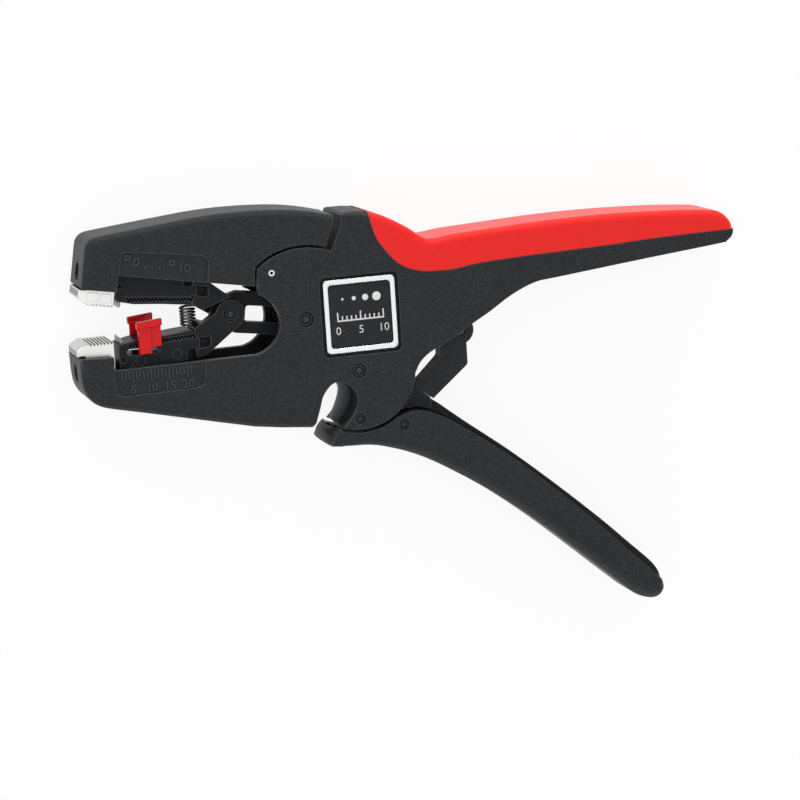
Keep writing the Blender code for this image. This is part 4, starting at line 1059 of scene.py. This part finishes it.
@dataclass
class LengthStop:
    """Red stop with two stepped plates joined by a bar."""

    finishes: Finishes
    column: Layer = Layer(((-26.3, -8.35), (-22.9, -8.35), (-22.7, -6.6), (-22.7, -0.6),
                           (-26.3, -0.9)), 15.4, 16.9, 0.28)
    web: Layer = Layer(((-22.9, -6.7), (-19.9, -6.5), (-19.9, -0.5), (-22.9, -0.6)), 15.45, 16.4,
                       0.2)
    lip: Layer = Layer(((-26.7, -1.45), (-19.65, -0.75), (-19.6, 1.2), (-26.7, 0.5)), 15.5, 17.4,
                       0.35)
    bar: tuple[float, ...] = (-24.3, -8.2, -22.7, -7.0, 0.3)
    bar_z: Point = (4.2, 15.8)

    def build(self) -> None:
        """Shape both sides and the bar between them."""
        shapes = []
        for layer in (self.column, self.web, self.lip):
            for low, high in ((layer.low, layer.high), (BODY_T - layer.high, BODY_T - layer.low)):
                shape = slab(layer.outline, low, high)
                soften(shape, layer.edge, 3)
                shapes.append(shape)
        shapes.append(slab(rounded_box(*self.bar), *self.bar_z))
        publish(merged(shapes), "length_stop_moulded", Body.LENGTH_STOP, self.finishes.slider,
                LOWER_ARM_SEAT, ["length_stop"])


@dataclass
class LowerHandle:
    """Lower handle with its core, elbow arm and cutter."""

    finishes: Finishes
    rivet: Point = (14.5, -25.3)
    rivet_radius: float = 1.3

    def build(self) -> None:
        """Dress the handle and the cutter."""
        dress(["lower_handle", "elbow_arm"], self.finishes.nylon)
        dress(["handle_core"], self.finishes.dark)
        dress(["elbow_pin", "rocker"], self.finishes.black)
        dress(["rocker_pin"], self.finishes.nickel)
        dress(["cutter_fixed_blade", "cutter_moving_blade"], self.finishes.cutter)
        publish(ringed_pin(self.rivet_radius, PIN_SINK, BODY_T - PIN_SINK, self.rivet),
                "handle_rivet_turned", Body.HANDLE, self.finishes.black,
                stands_for=["handle_rivet"])


@dataclass
class Lamp:
    """Square soft lamp aimed at the tool."""

    name: str
    place: tuple[float, float, float]
    size: float
    power: float
    aim: tuple[float, float, float] = (0.02, -0.02, 0.01)
    height: float = 0.0

    def build(self) -> None:
        """Hang the lamp."""
        light = bpy.data.lights.new(self.name, "AREA")
        light.energy = self.power
        light.size = self.size
        if self.height:
            light.shape = "RECTANGLE"
            light.size_y = self.height
        lamp = bpy.data.objects.new(self.name, light)
        bpy.context.scene.collection.objects.link(lamp)
        lamp.location = self.place
        beam = Vector(self.aim) - Vector(self.place)
        lamp.rotation_euler = beam.to_track_quat("-Z", "Y").to_euler()


@dataclass
class Studio:
    """Pale floor, soft lamps and the camera at the photograph's viewing angle."""

    view_turn: float = 16.0
    view_rise: float = 9.0
    roll: float = -3.8
    place: tuple[float, float, float] = (-0.2084, 0.1297, 0.827)
    lens: float = 137.7
    floor_half: float = 3.0
    floor_z: float = -0.0001
    glow: float = 0.9
    ambient: float = 0.62
    lamps: tuple[Lamp, ...] = (
        Lamp("overhead_softbox", (-0.15, 0.15, 1.0), 1.8, 4.5),
        Lamp("top_edge_strip", (0.0, 0.8, 0.14), 1.2, 6.5, height=0.12),
        Lamp("lower_edge_strip", (0.0, -0.8, 0.14), 1.2, 3.0, height=0.12),
        Lamp("front_edge_panel", (-0.8, 0.1, 0.3), 0.5, 0.4),
    )

    def build(self) -> None:
        """Set up the floor, the light and the camera."""
        self.floor()
        self.world()
        for lamp in self.lamps:
            lamp.build()
        self.camera()
        bpy.context.scene.view_settings.view_transform = "Standard"

    def unlit_rays(self, tree: NodeTree) -> NodeSocket:
        """Tell camera, mirror and glass rays from the rays that carry light.

        Args:
            tree: Node tree of the floor or the world.

        Returns:
            A value of 1 for those rays.
        """
        path = add_node(tree, "ShaderNodeLightPath")
        first = add_node(tree, "ShaderNodeMath", {0: path.outputs["Is Camera Ray"],
                                                  1: path.outputs["Is Glossy Ray"]},
                         operation="MAXIMUM")
        both = add_node(tree, "ShaderNodeMath", {0: first.outputs[0],
                                                 1: path.outputs["Is Transmission Ray"]},
                        operation="MAXIMUM")
        return both.outputs[0]

    def floor(self) -> None:
        """Lay a white floor that stays white and keeps a faint shadow."""
        material, tree, output = blank_material("white_studio_card")
        card = add_node(tree, "ShaderNodeBsdfDiffuse", {"Color": linear("f6f6f6")})
        light = add_node(tree, "ShaderNodeEmission", {"Color": linear("ffffff"), "Strength": 1.0})
        share = add_node(tree, "ShaderNodeMath", {0: self.unlit_rays(tree), 1: self.glow},
                         operation="MULTIPLY")
        mix = add_node(tree, "ShaderNodeMixShader", {0: share.outputs[0], 1: card.outputs[0],
                                                     2: light.outputs[0]})
        tree.links.new(mix.outputs[0], output.inputs["Surface"])
        work = bmesh.new()
        bmesh.ops.create_grid(work, x_segments=1, y_segments=1, size=self.floor_half)
        bmesh.ops.translate(work, vec=(0.0, 0.0, self.floor_z), verts=work.verts)
        mesh = bpy.data.meshes.new("studio_floor")
        work.to_mesh(mesh)
        work.free()
        mesh.materials.append(material)
        floor = bpy.data.objects.new("studio_floor", mesh)
        bpy.context.scene.collection.objects.link(floor)

    def world(self) -> None:
        """Surround the tool with plain white light."""
        world = bpy.data.worlds.new("white_room")
        world.use_nodes = True
        tree = world.node_tree
        tree.nodes.clear()
        strength = add_node(tree, "ShaderNodeMapRange", {"Value": self.unlit_rays(tree),
                                                         "To Min": self.ambient, "To Max": 1.0})
        sky = add_node(tree, "ShaderNodeBackground", {"Color": (1.0, 1.0, 1.0, 1.0),
                                                      "Strength": strength.outputs[0]})
        output = add_node(tree, "ShaderNodeOutputWorld")
        tree.links.new(sky.outputs[0], output.inputs["Surface"])
        bpy.context.scene.world = world

    def camera(self) -> None:
        """Point the camera as the photograph was taken."""
        turn, rise = math.radians(self.view_turn), math.radians(self.view_rise)
        back = Vector((-math.sin(turn) * math.cos(rise), math.sin(rise),
                       math.cos(turn) * math.cos(rise)))
        right = Vector((math.cos(turn), 0.0, math.sin(turn)))
        up = back.cross(right)
        axes = Matrix((right, up, back)).transposed()
        lens = bpy.data.cameras.new("photo_camera")
        lens.lens = self.lens
        lens.sensor_width = 36.0
        lens.clip_start, lens.clip_end = 0.01, 20.0
        camera = bpy.data.objects.new("photo_camera", lens)
        bpy.context.scene.collection.objects.link(camera)
        lay = Matrix.Rotation(math.radians(self.roll), 3, "Z") @ axes
        camera.matrix_world = Matrix.Translation(self.place) @ lay.to_4x4()
        bpy.context.scene.camera = camera


def main() -> None:
    """Build the studio and dress every sub-assembly in order."""
    logging.basicConfig(level=logging.INFO, format="%(name)s: %(message)s")
    Studio().build()
    finishes = Finishes()
    for assembly in (Housing(finishes), Badge(finishes), Clamps(finishes), UpperJaw(finishes),
                     BladeCarrier(finishes), LengthStop(finishes), LowerHandle(finishes)):
        assembly.build()
        LOG.info("%s is done", type(assembly).__name__)


if __name__ == "__main__":
    main()
